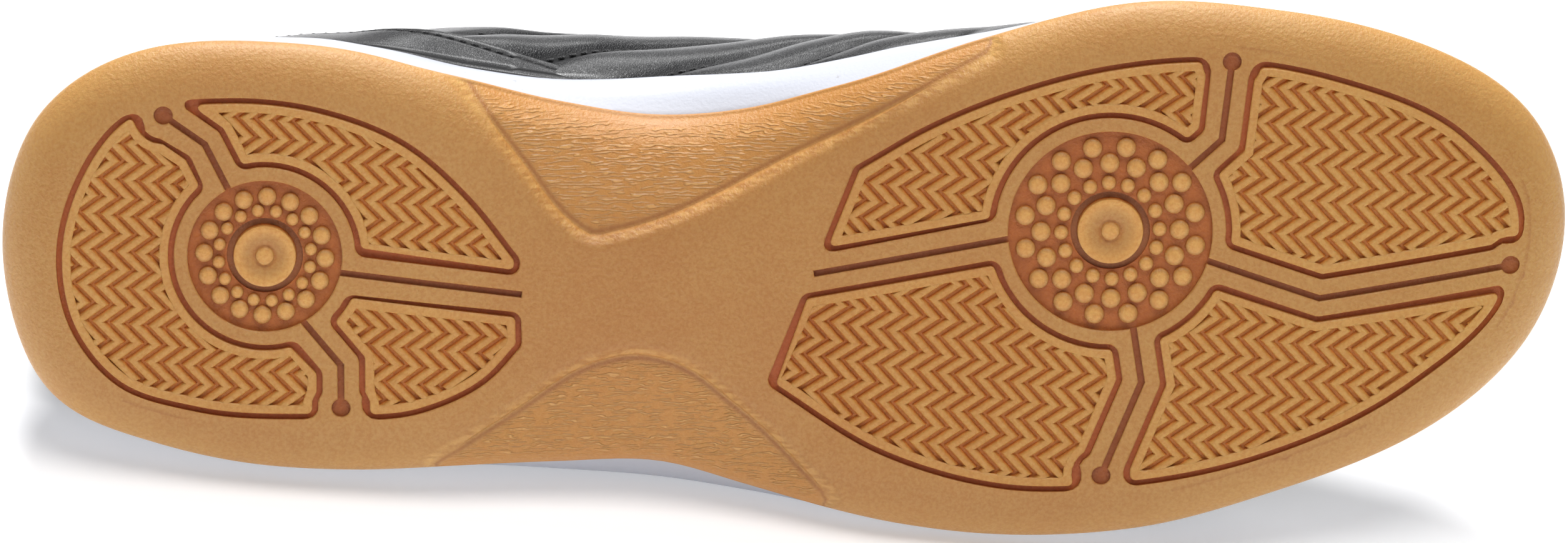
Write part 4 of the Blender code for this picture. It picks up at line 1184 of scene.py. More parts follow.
def gum_stops(settings):
    """The colours of the ground face and of everything cut into it, by its share of the moats' depth: darker
    in the spokes, pivots, grooves and moats, partly the gum's own colour in its cuts and partly painted
    shade.
    """
    return (
        (0.0, settings.land), (0.25, settings.land), (0.5, settings.spoke), (0.59, settings.pivot),
        (0.69, settings.pivot), (0.82, settings.groove), (0.87, settings.groove), (1.0, settings.spoke),
    )


class SHOE_OT_outsole(bpy.types.Operator):
    """Build the gum outsole with its grooves, pivots, spokes and stepped waist"""

    bl_idname = "shoe.outsole"
    bl_label = "Gum outsole"

    def execute(self, context):
        paint = gum_paint("gum_land", gum_stops(context.scene.shoe_gum), waist=True)
        sole = finished("gum_sole", gum_land(), [paint], sharp=28.0)
        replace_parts(sole, "outsole")
        return {"FINISHED"}


class SHOE_OT_tread(bpy.types.Operator):
    """Build the tread's panels with their herringbone ribs"""

    bl_idname = "shoe.tread"
    bl_label = "Tread panels"

    def execute(self, context):
        settings = context.scene.shoe_gum
        stops = ((0.0, settings.rib), (0.25, settings.rib), (0.9, settings.pocket))
        paint = gum_paint("gum_panels", stops)
        panels, ribs = bmesh.new(), bmesh.new()
        for field, pivot, spokes, lattice, _ in TREADS:
            join(panels, tread_panels(field, pivot, spokes))
            join(ribs, herringbone(field, pivot, spokes, lattice, settings))
        finished("tread_panels", panels, [paint], sharp=28.0)
        finished("herringbone_ribs", ribs, [paint], sharp=50.0)
        return {"FINISHED"}


class SHOE_OT_pivots(bpy.types.Operator):
    """Build the buttons and studs in the two pivots"""

    bl_idname = "shoe.pivots"
    bl_label = "Pivots"

    def execute(self, context):
        settings = context.scene.shoe_gum
        # Painted highlight on the studs' and buttons' tops, and painted shade down their sides through the
        # land colour to the pivot's.
        stops = ((0.0, settings.stud), (0.07, settings.stud), (0.2, settings.land), (0.68, settings.pivot))
        whole = bmesh.new()
        for _, pivot, _, _, studs in TREADS:
            join(whole, pivot_pieces(pivot, studs))
        finished("pivot_studs", whole, [gum_paint("gum_studs", stops)], sharp=40.0)
        return {"FINISHED"}


# Midsole and footbed

# How far in from its edges the foam's flat middle starts, and how much higher its underside is there.
FOAM_INSET, FOAM_HOLLOW, FOAM_ROWS = 12.0, 0.2, 9
# The foam's rim, from its outer edge to the tray's floor. Columns: share of its width, how far past, drop.
RIM_ROWS = (
    (1, 0.3, 0.15), (1, 0.0, 0.0), (0, GAP + 0.5, 0.0), (0, GAP, 0.35), (0, GAP, RIM_DEPTH),
    (0, -FOAM_INSET, RIM_DEPTH),
)
# The footbed's dish, how flat it is in the middle, how near its grid comes to the heel's and toe's points,
# and how much thinner it is than the insole's room.
BED_GRID, BED_DISH, BED_FLATNESS, BED_END, BED_THINNER = (120, 24), 0.8, 6, 0.004, 1.0


def foam_tray():
    """The midsole's round wall, its rim and the tray inside it."""
    def rows(theta):
        base = grown_loop(GUM_COLUMN, theta, -TOP_INSET)
        bottom = GUM_THICKNESS + GAP + lift(base[:, 0], base[:, 1])
        rim = rim_height(theta)
        width = between(RIM_WIDTHS, sole_loop(BITE_COLUMN, theta)[:, 0])[:, None]
        foot = spatial(base, bottom)
        side = spatial(sole_loop(SIDE_COLUMN, theta), bottom + WALL_LEVEL * (rim - bottom))
        shoulder = spatial(grown_loop(BITE_COLUMN, theta, width + RIM_CHAMFER), rim - RIM_CHAMFER)
        profile = np.stack([foot, side, shoulder]).reshape(3, -1)
        yield spatial(grown_loop(GUM_COLUMN, theta, -FOAM_INSET), bottom + FOAM_HOLLOW)
        for height in np.linspace(0, 1, FOAM_ROWS):
            yield hermite((0, 0.5, 1), profile, [height]).reshape(-1, 3)
        for share, past, drop in RIM_ROWS:
            yield spatial(grown_loop(BITE_COLUMN, theta, share * width + past), rim - drop)

    def place(u, v):
        made = np.stack(list(rows(math.tau * u)))
        return made[np.rint(v * (len(made) - 1)).astype(int), np.arange(len(u))]

    return capped(mapped_grid(PLATE_COLUMNS, FOAM_ROWS + len(RIM_ROWS), place))


class SHOE_OT_midsole(bpy.types.Operator):
    """Build the white foam midsole"""

    bl_idname = "shoe.midsole"
    bl_label = "Foam midsole"

    def execute(self, context):
        paint = foam_paint(context.scene.shoe_foam)
        tray = finished("foam_midsole", foam_tray(), [paint], sharp=50.0)
        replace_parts(tray, "midsole")
        return {"FINISHED"}


def footbed():
    """The insole: a thin cupped sheet over the tray's floor."""
    def place(u, v):
        theta = np.clip(u, BED_END, 1 - BED_END) * math.pi
        inset = -SKIRT_GAP - WALL - INSOLE_GAP
        inner = grown_loop(BITE_COLUMN, theta, inset)
        outer = grown_loop(BITE_COLUMN, math.tau - theta, inset)
        share = v[:, None]
        plan = outer * (1 - share) + inner * share
        floor = rim_height(theta) - RIM_DEPTH + GAP + INSOLE_THICKNESS
        return spatial(plan, floor - BED_DISH * (1 - (2 * v - 1) ** BED_FLATNESS))

    bm = mapped_grid(*BED_GRID, place)
    if sum(face.normal.z for face in bm.faces) < 0:
        bmesh.ops.reverse_faces(bm, faces=bm.faces)
    bmesh.ops.solidify(bm, geom=bm.faces[:], thickness=INSOLE_THICKNESS - BED_THINNER)
    bmesh.ops.recalc_face_normals(bm, faces=bm.faces)
    return bm


class SHOE_OT_footbed(bpy.types.Operator):
    """Build the cloth-covered footbed"""

    bl_idname = "shoe.footbed"
    bl_label = "Footbed"

    def execute(self, context):
        paint = cloth_paint("footbed_cloth", tuple(context.scene.shoe_leather.lining), threads=260.0)
        bed = finished("footbed", footbed(), [paint], sharp=40.0)
        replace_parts(bed, "insole")
        return {"FINISHED"}


# Upper

# Quilting of the sides: where it lies along the shoe and up the wall, how its back end leans, its first
# seam's foot, how the seams rise forwards, how wide they are, and how wide the painted shade along them is.
QUILT_BACK, QUILT_FRONT, QUILT_FADE, QUILT_LEAN = 78.0, 186.0, 9.0, 0.35
QUILT_LOW, QUILT_LOW_FADE, QUILT_TOP, QUILT_TOP_FADE, QUILT_STAY_GAP = 0.02, 0.07, 0.7, 0.12, 1.0
QUILT_START, QUILT_RISE, QUILT_SEAMS = 61.0, 0.64, 6
QUILT_SUNK, SEAM_SHARE, SEAM_SHADE = 0.7, 0.16, 0.17
# Creases across the vamp. Columns: x at the middle, bow, depth, half width, half length.
CREASES = (
    (206.0, 0.012, 0.7, 3.2, 30.0),
    (214.5, 0.010, 0.9, 3.6, 34.0),
    (224.0, 0.008, 0.6, 3.4, 31.0),
    (233.0, 0.006, 0.35, 3.2, 26.0),
)
# Where a crease fades along itself and up the wall, and the fold in front of it: its height and how far off.
CREASE_FADE, CREASE_FOOT, FOLD_SHARE, FOLD_AWAY = 0.6, (0.12, 0.3), 0.5, 1.6
# The leather's slight waves: their height, where they fade up the wall, and radians per millimetre.
WAVE_HEIGHT, WAVE_FOOT, WAVE_HEAD = 0.22, (0.05, 0.3), (0.75, 0.95)
WAVE_ALONG, WAVE_ACROSS, WAVE_UP, WAVE_SKEW = 0.11, 0.07, 0.13, 0.031
# Rows of the upper's outside, top line and lining, how high the top line rolls, and where the lining starts.
OUTER_ROWS, ROLL_ROWS, INNER_ROWS, UPPER_COLUMNS = 88, 8, 26, 560
ROLL_RISE, LINING_START = 2.2, 0.4


def quilt_phase(points, theta, spacing):
    """How many channels a point on the wall lies from the first; whole numbers are seams."""
    height = points[:, 2] - rim_height(theta)
    return (points[:, 0] - QUILT_START - height / QUILT_RISE) / spacing


def seam_distance(points, theta, spacing):
    """How far a point lies from its nearest seam, from 0 on it to 1 halfway to the next."""
    phase = quilt_phase(points, theta, spacing)
    return abs(phase - np.round(phase)) * 2


def quilt_share(points, theta, t):
    """Where on the wall the quilting is, from 0 to 1."""
    stay = 1 - (EYESTAY_WIDTH + QUILT_STAY_GAP) / chord_lengths(theta)
    height = points[:, 2] - rim_height(theta)
    along = points[:, 0] - height / QUILT_RISE * QUILT_LEAN
    share = smooth_step(along, QUILT_BACK - QUILT_FADE, QUILT_BACK + QUILT_FADE)
    share *= 1 - smooth_step(points[:, 0], QUILT_FRONT - 2 * QUILT_FADE, QUILT_FRONT)
    share *= smooth_step(t, QUILT_LOW, QUILT_LOW + QUILT_LOW_FADE)
    top = np.where(points[:, 0] < EYESTAY_BACK, QUILT_TOP, stay)
    return share * (1 - smooth_step(t, top - QUILT_TOP_FADE, top))


def wall_relief(points, theta, t, settings):
    """How far the leather stands out from the smooth wall: puffed channels, seams and creases."""
    near = seam_distance(points, theta, settings.channel)
    roll = settings.puff * np.sqrt(1 - (1 - np.clip((near - SEAM_SHARE) / (1 - SEAM_SHARE), 0, 1)) ** 2)
    relief = quilt_share(points, theta, t) * (roll - QUILT_SUNK)
    x, s = points[:, 0], -points[:, 1]
    for middle, bow, depth, half, length in CREASES:
        away = x - middle + bow * s**2
        reach = (1 - smooth_step(abs(s), length * CREASE_FADE, length)) * smooth_step(t, *CREASE_FOOT)
        relief -= depth * reach * np.exp(-((away / half) ** 2))
        relief += FOLD_SHARE * depth * reach * np.exp(-(((away - FOLD_AWAY * half) / half) ** 2))
    waves = np.sin(x * WAVE_ALONG + s * WAVE_ACROSS) * np.sin(points[:, 2] * WAVE_UP + x * WAVE_SKEW)
    return relief + WAVE_HEIGHT * waves * smooth_step(t, *WAVE_FOOT) * (1 - smooth_step(t, *WAVE_HEAD))


def wall_thickness(theta, t):
    """The wall with the collar's foam, which is all along the ankle and none at the throat."""
    forward = folded(theta) / turn_angle(COLLAR_PADDING_FRONT)
    ankle = np.clip((1 - forward) / COLLAR_PADDING_FADE, 0, 1)
    high = np.clip((t - 1 + COLLAR_PADDING_DEPTH) / COLLAR_PADDING_DEPTH, 0, 1)
    return WALL + (COLLAR_PADDING - WALL) * ankle * np.sin(high * COLLAR_PADDING_TURN)


def upper_shell(settings):
    """The upper as one closed shell: up the outside, over the top line and down the lining."""
    outer = OUTER_ROWS + 1
    count = outer + ROLL_ROWS + INNER_ROWS + 2

    def turns(u, v):
        row = np.rint(v * (count - 1)).astype(int) % (count - 1)
        down = np.clip((row - outer + 1 - ROLL_ROWS) / INNER_ROWS, 0, 1)
        t = np.where(row <= outer, np.clip(row - 1, 0, None) / OUTER_ROWS, 1 - down)
        return even_turns(u), row, np.clip(t, 0, 1)

    def place(u, v):
        theta, row, t = turns(u, v)
        turn = np.clip((row - outer + 1) / ROLL_ROWS, 0, 1) * math.pi
        points, normals, up = wall_frame(theta, t)
        thick = wall_thickness(theta, t)
        relief = np.where(turn == 0, wall_relief(points, theta, t, settings), 0)
        rise = np.where(turn < math.pi, np.sin(turn) * np.minimum(thick / 2, ROLL_RISE), 0)
        made = points + normals * (relief - (1 - np.cos(turn)) / 2 * thick)[:, None] + up * rise[:, None]
        made[:, 2] -= np.where((row == 0) | (row == count - 2), RIM_DEPTH - GAP, 0)
        return made

    # Painted shade along the quilt seams, darkest on a seam.
    def seam(u, v):
        theta, row, t = turns(u, v)
        points = wall_point(theta, t)
        near = seam_distance(points, theta, settings.channel) / SEAM_SHADE
        return np.where(row < outer, quilt_share(points, theta, t) * np.exp(-(near**2)), 0)

    bm = mapped_grid(UPPER_COLUMNS, count - 1, place, seam=seam)
    lining_from = (outer + ROLL_ROWS * LINING_START) / (count - 1)
    layer = bm.loops.layers.uv["surface"]
    for face in bm.faces:
        middle = sum(loop[layer].uv.y for loop in face.loops) / len(face.loops)
        face.material_index = int(middle > lining_from)
    return bm


class SHOE_OT_upper(bpy.types.Operator):
    """Build the hollow leather upper with its quilted sides, creases and lining"""

    bl_idname = "shoe.upper"
    bl_label = "Leather upper"

    def execute(self, context):
        settings = context.scene.shoe_leather
        leather = leather_paint(settings, "black_leather", grain_scale=2200.0)
        lining = cloth_paint("lining", tuple(settings.lining), threads=300.0)
        shell = upper_shell(settings)
        upper = finished("leather_upper", shell, [leather, lining], sharp=60.0)
        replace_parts(upper, "upper")
        return {"FINISHED"}


# Overlays

# Over what distance an overlay gets its thickness from its edges and from its ends.
EDGE_EASE, STAY_TAPER, COUNTER_TAPER = 1.1, 14.0, 8.0
# The sewn line along an overlay's edges: how far in it is, its groove's depth and half width, and how dark
# and how wide the painted shade along it is.
STITCH_INSET, DENT, DENT_WIDTH, SHADE, SHADE_WIDTH = 2.0, 0.3, 0.6, 0.9, 0.5
# How far in from an overlay's cut edges its dark band fades, in millimetres; the band is partly edge dye and
# partly painted shade.
CUT_EDGE = (0.2, 0.8)
STAY_GRID, COUNTER_GRID, THROAT_GRID = (260, 20), (320, 44), (120, 12)
STAY_TOP, COUNTER_TRIM = 0.995, 0.985
SPAN_SAMPLES, SPAN_HEIGHT = 80, 0.6


def overlay(columns, rows, theta_of, low_of, high_of, taper):
    """A leather panel on the wall, thin at its edges and its tapered ends: a closed sheet."""
    length = chord_span(theta_of)

    def turns(u, v):
        theta = theta_of(u)
        low, high = low_of(theta), high_of(theta)
        share = np.minimum(2 * v, 2 - 2 * v)
        sides = np.minimum(share, 1 - share) * (high - low) * chord_lengths(theta)
        return theta, low + (high - low) * share, sides, np.minimum(u, 1 - u) * length

    def place(u, v):
        theta, t, sides, ends = turns(u, v)
        points, normals, _ = wall_frame(theta, t)
        round_off = np.clip(np.minimum(sides / EDGE_EASE, ends / taper), 0, 1)
        thick = OVERLAY_THICKNESS * np.sqrt(round_off * (2 - round_off))
        groove = DENT * np.exp(-(((sides - STITCH_INSET) / DENT_WIDTH) ** 2)) * (round_off == 1)
        return points + normals * (GAP + np.where(v <= 0.5, thick - groove, 0))[:, None]

    # How dark each point is: the cut edges, partly edge dye and partly painted shade, and painted shade along
    # the sewn line.
    def seam(u, v):
        _, _, sides, ends = turns(u, v)
        cut = 1 - smooth_step(np.minimum(sides, ends), *CUT_EDGE)
        return np.maximum(cut, SHADE * np.exp(-(((sides - STITCH_INSET) / SHADE_WIDTH) ** 2)))

    return mapped_grid(columns, 2 * rows, place, seam=seam)


def chord_span(theta_of):
    """The length of an overlay along the wall's middle."""
    theta = theta_of(np.linspace(0, 1, SPAN_SAMPLES))
    return way_along(wall_point(theta, np.full(len(theta), SPAN_HEIGHT)))[-1]


def stay_range(u):
    """Turn angles along the lace stay, from its inner end around the throat to its outer end."""
    start = turn_angle(EYESTAY_BACK)
    return start + (math.tau - 2 * start) * u


def stay_low(theta):
    return 1 - EYESTAY_WIDTH / chord_lengths(theta)


def stay_high(theta):
    return np.full(len(theta), STAY_TOP)


def lace_stay(columns, rows):
    """The panel around the throat that carries the eyelets."""
    return overlay(columns, rows, stay_range, stay_low, stay_high, STAY_TAPER)


def counter_range(u):
    """Turn angles along the heel panel, from its outer end around the heel to its inner end."""
    return turn_angle(COUNTER_REACH) * COUNTER_TRIM * (2 * u - 1)


def counter_low(theta):
    return np.full(len(theta), COUNTER_LOW)


def counter_high(theta):
    """The heel panel's bowed top, highest at the back."""
    reach = turn_angle(COUNTER_REACH)
    away = (theta + math.pi) % math.tau - math.pi
    return COUNTER_FRONT + (COUNTER_BACK - COUNTER_FRONT) * np.cos(away / reach * math.pi / 2) ** COUNTER_BOW


class SHOE_OT_overlays(bpy.types.Operator):
    """Build the lace stay and the heel counter"""

    bl_idname = "shoe.overlays"
    bl_label = "Overlays"

    def execute(self, context):
        paint = leather_paint(context.scene.shoe_leather, "overlay_leather", grain_scale=2600.0)
        stay = lace_stay(*STAY_GRID)
        counter = overlay(*COUNTER_GRID, counter_range, counter_low, counter_high, COUNTER_TAPER)
        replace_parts(finished("lace_stay", stay, [paint], sharp=60.0), "eyestay")
        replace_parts(finished("heel_panel", counter, [paint], sharp=60.0), "heel_counter")
        return {"FINISHED"}


# Tongue and laces

# The tongue's cushion: how full its section is, how soon its two ends are, and its sewn line: where across,
# how wide and how deep.
TONGUE_GRID, TONGUE_FULLNESS, TONGUE_FRONT, TONGUE_BACK = (120, 64), 0.55, 40, 28
TONGUE_SEAM, TONGUE_SEAM_WIDTH, TONGUE_SEAM_DEPTH = 0.78, 0.06, 0.35
# An eyelet's rolled ring. Columns: radius, height.
RING_PROFILE = (
    (0, -0.1), (1.9, -0.1), (1.95, 0.15), (2.2, 0.3), (2.6, 0.28), (2.9, 0.1), (3.0, -0.2), (0, -0.3),
)
RING_SIDES, EYELET_SAMPLES = 32, 600
# A run of lace: which way it faces, its points, how near its edges it is tried on what lies under it, how far
# it stays off that, how far its ends dip into the eyelets, and how much further the upper run rises.
THROAT_UP, LACE_SAMPLES, LACE_TRIES = (0.42, 0.0, 1.0), 25, (-0.9, 0, 0.9)
LACE_CLEAR, LACE_DIP, LACE_OVER = 0.12, 1.2, 0.2
# Where the lace starts to turn into an eyelet and is pinched by it, and the share of its width that it loses.
LACE_TURN, LACE_PINCH_PLACE, LACE_PINCH = (0.5, 0.95), (0.75, 1.0), 0.4
# The lace's section, the size of its mesh, and its weave's map in millimetres.
LACE_ROUND, LACE_FLAT, LACE_SIDES, LACE_STEP = 0.7, 0.6, 16, 1.0
WEAVE_ALONG, WEAVE_ACROSS = 10, 5


def tongue_section(x):
    """The tongue's middle, half breadth, crown and edge at places along it."""
    rows = np.array(TONGUE_STATIONS)[::-1]
    return hermite(rows[:, 0], rows[:, 1:], x).T


def swelled(wave, power):
    """A wave between -1 and 1 made fuller by a power below 1."""
    return np.sign(wave) * abs(wave) ** power


def tongue_shape():
    """The padded tongue as one closed cushion with a round edge."""
    front, back = TONGUE_STATIONS[0][0], TONGUE_STATIONS[-1][0]

    def place(u, v):
        x = front + (back - front) * u
        middle, half, crown, edge = tongue_section(x)
        turn = math.tau * v
        across = np.cos(turn)
        face = swelled(np.sin(turn), TONGUE_FULLNESS)
        ends = np.sqrt(np.clip(np.minimum(u * TONGUE_FRONT, (1 - u) * TONGUE_BACK), 0, 1))
        thick = TONGUE_THICKNESS * ends
        middle_z = crown - (crown - edge) * across**2 - TONGUE_THICKNESS / 2
        off_seam = (abs(across) - TONGUE_SEAM) / TONGUE_SEAM_WIDTH
        quilting = TONGUE_SEAM_DEPTH * np.exp(-(off_seam**2)) * ends
        tilt = 2 * (crown - edge) * across / half
        lean = np.sqrt(1 + tilt**2)
        rise = (thick / 2 * face - np.where(face > 0, quilting, 0)) / lean
        return np.column_stack([x, -(middle + across * half + rise * tilt), middle_z + rise])

    bm = mapped_grid(*TONGUE_GRID, place)
    bmesh.ops.recalc_face_normals(bm, faces=bm.faces)
    return bm


class SHOE_OT_tongue(bpy.types.Operator):
    """Build the padded tongue"""

    bl_idname = "shoe.tongue"
    bl_label = "Tongue"

    def execute(self, context):
        paint = leather_paint(context.scene.shoe_leather, "tongue_leather", grain_scale=2400.0)
        tongue = finished("padded_tongue", tongue_shape(), [paint], sharp=60.0)
        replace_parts(tongue, "tongue")
        return {"FINISHED"}


def eyelet(x, side):
    """A point on the lace stay one eyelet's distance from the throat's edge, and its normal."""
    search = np.linspace(0, math.pi, EYELET_SAMPLES)
    theta = search if side == INNER else math.tau - search
    tops = wall_point(theta, np.ones(len(theta)))[:, 0]
    found = theta[np.argmin(abs(tops - x))][None]
    point, normal, _ = wall_frame(found, 1 - EYELET_IN / chord_lengths(found))
    return point[0] + normal[0] * (GAP + OVERLAY_THICKNESS), normal[0]


def eyelets():
    """The eyelets of the inner and the outer row, from the toe upwards."""
    places = np.linspace(EYELET_FIRST_X, EYELET_LAST_X, EYELET_PAIRS)
    return [[eyelet(x, side) for x in places] for side in (INNER, OUTER)]


def eyelet_rings():
    """Small rolled rings around the eyelets, each with a dark floor."""
    whole = bmesh.new()
    for row in eyelets():
        for point, normal in row:
            ring = turned(RING_PROFILE, (0, 0), RING_SIDES)
            turn = Vector(normal).to_track_quat("Z", "X").to_matrix().to_4x4()
            ring.transform(Matrix.Translation(point) @ turn)
            join(whole, ring)
    return whole


def throat_heights():
    """The top of what lies under the laces, as a function of plan points."""
    bm = tongue_shape()
    join(bm, lace_stay(*THROAT_GRID))
    tree = BVHTree.FromBMesh(bm)
    bm.free()

    def height(x, y):
        hit = tree.ray_cast(Vector((x, y, SOLE_LENGTH)), Vector((0, 0, -1)))[0]
        return hit.z if hit else 0.0

    return height


def pulled_tight(shares, heights):
    """Heights of a line over points, where none lies below a straight run past it."""
    made = np.array(heights)
    for i in range(len(shares)):
        for j in range(i + 2, len(shares)):
            span = slice(i + 1, j)
            line = np.interp(shares[span], [shares[i], shares[j]], [heights[i], heights[j]])
            made[span] = np.maximum(made[span], line)
    return made


def lace_run(start, end, height, over, settings):
    """One flat run of lace: out of an eyelet, tight over the tongue, and down into the next."""
    (a, a_up), (b, b_up) = start, end
    shares = np.linspace(0, 1, LACE_SAMPLES)
    plan = a[:2] + np.outer(shares, (b - a)[:2])
    side = np.array([b[1] - a[1], a[0] - b[0]])
    side *= settings.width / 2 / np.linalg.norm(side)
    heights = [
        max(height(*(p + side * part)) for part in LACE_TRIES) + settings.thickness / 2 + LACE_CLEAR
        for p in plan
    ]
    tight = pulled_tight(shares, heights) + over * np.sin(math.pi * shares) ** 2
    middle = np.column_stack([plan, tight])[1:-1]
    ends = [a - a_up * LACE_DIP, a], [b, b - b_up * LACE_DIP]
    path = smooth_path(np.concatenate([ends[0], middle, ends[1]]), LACE_STEP)
    share = np.linspace(-1, 1, len(path))
    ended = smooth_step(abs(share), *LACE_TURN)[:, None]
    ups = unit(np.where(share[:, None] < 0, a_up, b_up) * ended + unit(np.array(THROAT_UP)) * (1 - ended))
    return path, ups, 1 - LACE_PINCH * smooth_step(abs(share), *LACE_PINCH_PLACE)


def ribbon(path, ups, pinch, settings):
    """A flat woven ribbon along a path, lying square to the ups, its ends pinched by the eyelets."""
    along = unit(np.gradient(path, axis=0))
    wide = unit(np.cross(ups, along)) * pinch[:, None]
    thick = np.cross(along, unit(wide))
    length = way_along(path)[-1]

    def place(u, v):
        row = np.rint(u * (len(path) - 1)).astype(int)
        turn = math.tau * v
        across, up = swelled(np.cos(turn), LACE_ROUND), swelled(np.sin(turn), LACE_FLAT)
        made = path[row] + wide[row] * (across * settings.width / 2)[:, None]
        return made + thick[row] * (up * settings.thickness / 2)[:, None]

    bm = mapped_grid(len(path) - 1, LACE_SIDES, place, "weave")
    layer = bm.loops.layers.uv["weave"]
    for face in bm.faces:
        for loop in face.loops:
            u, v = loop[layer].uv
            loop[layer].uv = (u * length / WEAVE_ALONG, v * settings.width / WEAVE_ACROSS)
    return capped(bm)


def lacing(settings):
    """The whole lace: a bar at the lowest eyelets and two crossing runs from each pair to the next."""
    height = throat_heights()
    inner, outer = eyelets()
    runs = [(inner[0], outer[0], 0.0)]
    for k in range(EYELET_PAIRS - 1):
        runs.append((inner[k], outer[k + 1], 0.0))
        runs.append((outer[k], inner[k + 1], settings.thickness + LACE_OVER))
    whole = bmesh.new()
    for start, end, over in runs:
        join(whole, ribbon(*lace_run(start, end, height, over, settings), settings))
    return whole


class SHOE_OT_laces(bpy.types.Operator):
    """Build the flat lace through its eyelets"""

    bl_idname = "shoe.laces"
    bl_label = "Laces"

    def execute(self, context):
        settings = context.scene.shoe_lace
        paint = cloth_paint("lace_cloth", tuple(settings.colour), threads=5.0, map_name="weave")
        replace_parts(finished("flat_lace", lacing(settings), [paint], sharp=70.0), "laces")
        rings = leather_paint(context.scene.shoe_leather, "eyelet_paint", grain_scale=3000.0)
        finished("eyelet_rings", eyelet_rings(), [rings], sharp=50.0)
        return {"FINISHED"}


# Stitching

# How near the floor stitches are left out, in metres, and the thread's radius.
FLOOR_CLEARANCE, THREAD_RADIUS = 0.001, 0.32
# A row of stitches: its first place, its pitch in stitches, and how far into an overlay its thread lies.
STITCH_START, STITCH_PITCH, STITCH_SUNK = 0.4, 1.35, 0.2
# A quilt seam's samples: heights, places around, and how many are smoothed together and kept at the least.
SEAM_HEIGHTS, SEAM_TURNS, SEAM_SMOOTHED, SEAM_LEAST = (0.03, 0.8, 160), 240, 13, 20
SEAM_MARGIN, SEAM_PRESENT = 0.1, 0.5
# Rows on the overlays and the collar: the parts of each panel that they take up, and their samples.
STAY_ROWS, STAY_EDGE_ROW, COUNTER_ROW = (0.006, 0.994, 400), (0.02, 0.98, 300), (0.01, 0.99, 300)
COUNTER_ROW_GAP = 1.0
COLLAR_ROW_FRONT, COLLAR_ROW_DROP, COLLAR_ROW_SAMPLES, COLLAR_ROW_PROUD = 104.0, 7.0, 300, 0.1


def stitch_row(whole, points, normals, settings):
    """Stitches end to end along points on the leather, each a small thread that dips at both ends."""
    distance = way_along(points)

    def at(rows, place):
        return Vector([np.interp(place, distance, row) for row in rows.T])

    for start in np.arange(STITCH_START, distance[-1] - settings.stitch, settings.stitch * STITCH_PITCH):
        a, b = at(points, start), at(points, start + settings.stitch)
        if (PLACE @ a).z < FLOOR_CLEARANCE:
            continue
        up = at(normals, start + settings.stitch / 2).normalized()
        thread = bmesh.new()
        bmesh.ops.create_icosphere(thread, subdivisions=1, radius=1.0)
        bmesh.ops.scale(thread, verts=thread.verts, vec=((b - a).length / 2, THREAD_RADIUS, THREAD_RADIUS))
        x = (b - a).normalized()
        y = up.cross(x).normalized()
        turn = Matrix((x, y, x.cross(y))).transposed().to_4x4()
        thread.transform(Matrix.Translation((a + b) / 2) @ turn)
        join(whole, thread)


def smooth_frame(theta, t, proud):
    """Points that stand proud of the smooth wall, and the wall's normals."""
    points, normals, _ = wall_frame(theta, t)
    return points + normals * proud, normals


def relief_frame(theta, t, settings, proud):
    """Points that stand proud of the leather with its relief, and the wall's normals."""
    points, normals, _ = wall_frame(theta, t)
    return points + normals * (wall_relief(points, theta, t, settings) + proud)[:, None], normals


def quilt_seams(settings):
    """The lines of the seams between the quilted channels, on both sides."""
    t = np.linspace(*SEAM_HEIGHTS)
    for low, high in ((0, math.pi), (math.pi, math.tau)):
        angles = np.linspace(low + SEAM_MARGIN, high - SEAM_MARGIN, SEAM_TURNS)
        for number in range(QUILT_SEAMS):
            theta = np.empty(len(t))
            for k, height in enumerate(t):
                row = np.full(len(angles), height)
                phase = quilt_phase(wall_point(angles, row), angles, settings.channel)
                theta[k] = angles[np.argmin(abs(phase - number))]
            padded = np.pad(theta, SEAM_SMOOTHED // 2, mode="edge")
            theta = np.convolve(padded, np.ones(SEAM_SMOOTHED) / SEAM_SMOOTHED, mode="valid")
            kept = quilt_share(wall_point(theta, t), theta, t) > SEAM_PRESENT
            if kept.sum() > SEAM_LEAST:
                yield theta[kept], t[kept]


def stitching(settings):
    """All visible stitches: quilt seams, collar, lace stay and heel panel."""
    whole = bmesh.new()
    for theta, t in quilt_seams(settings):
        stitch_row(whole, *relief_frame(theta, t, settings, THREAD_RADIUS), settings)
    proud = GAP + OVERLAY_THICKNESS - STITCH_SUNK
    theta = stay_range(np.linspace(*STAY_ROWS))
    for inset in (STITCH_INSET, 2 * STITCH_INSET):
        t = stay_low(theta) + inset / chord_lengths(theta)
        stitch_row(whole, *smooth_frame(theta, t, proud), settings)
    theta = stay_range(np.linspace(*STAY_EDGE_ROW))
    stitch_row(whole, *smooth_frame(theta, 1 - STITCH_INSET / chord_lengths(theta), proud), settings)
    theta = counter_range(np.linspace(*COUNTER_ROW))
    t = counter_high(theta) - STITCH_INSET / chord_lengths(theta)
    kept = t > COUNTER_LOW + COUNTER_ROW_GAP / chord_lengths(theta)
    stitch_row(whole, *smooth_frame(theta[kept], t[kept], proud), settings)
    reach = turn_angle(COLLAR_ROW_FRONT)
    theta = np.linspace(-reach, reach, COLLAR_ROW_SAMPLES)
    t = 1 - COLLAR_ROW_DROP / chord_lengths(theta)
    stitch_row(whole, *smooth_frame(theta, t, COLLAR_ROW_PROUD), settings)
    return whole


class SHOE_OT_stitching(bpy.types.Operator):
    """Sew the visible stitches"""

    bl_idname = "shoe.stitching"
    bl_label = "Stitching"

    def execute(self, context):
        settings = context.scene.shoe_leather
        paint = cloth_paint("thread", tuple(settings.thread), threads=900.0, roughness=0.6)
        finished("stitches", stitching(settings), [paint], sharp=80.0)
        return {"FINISHED"}


# Stage

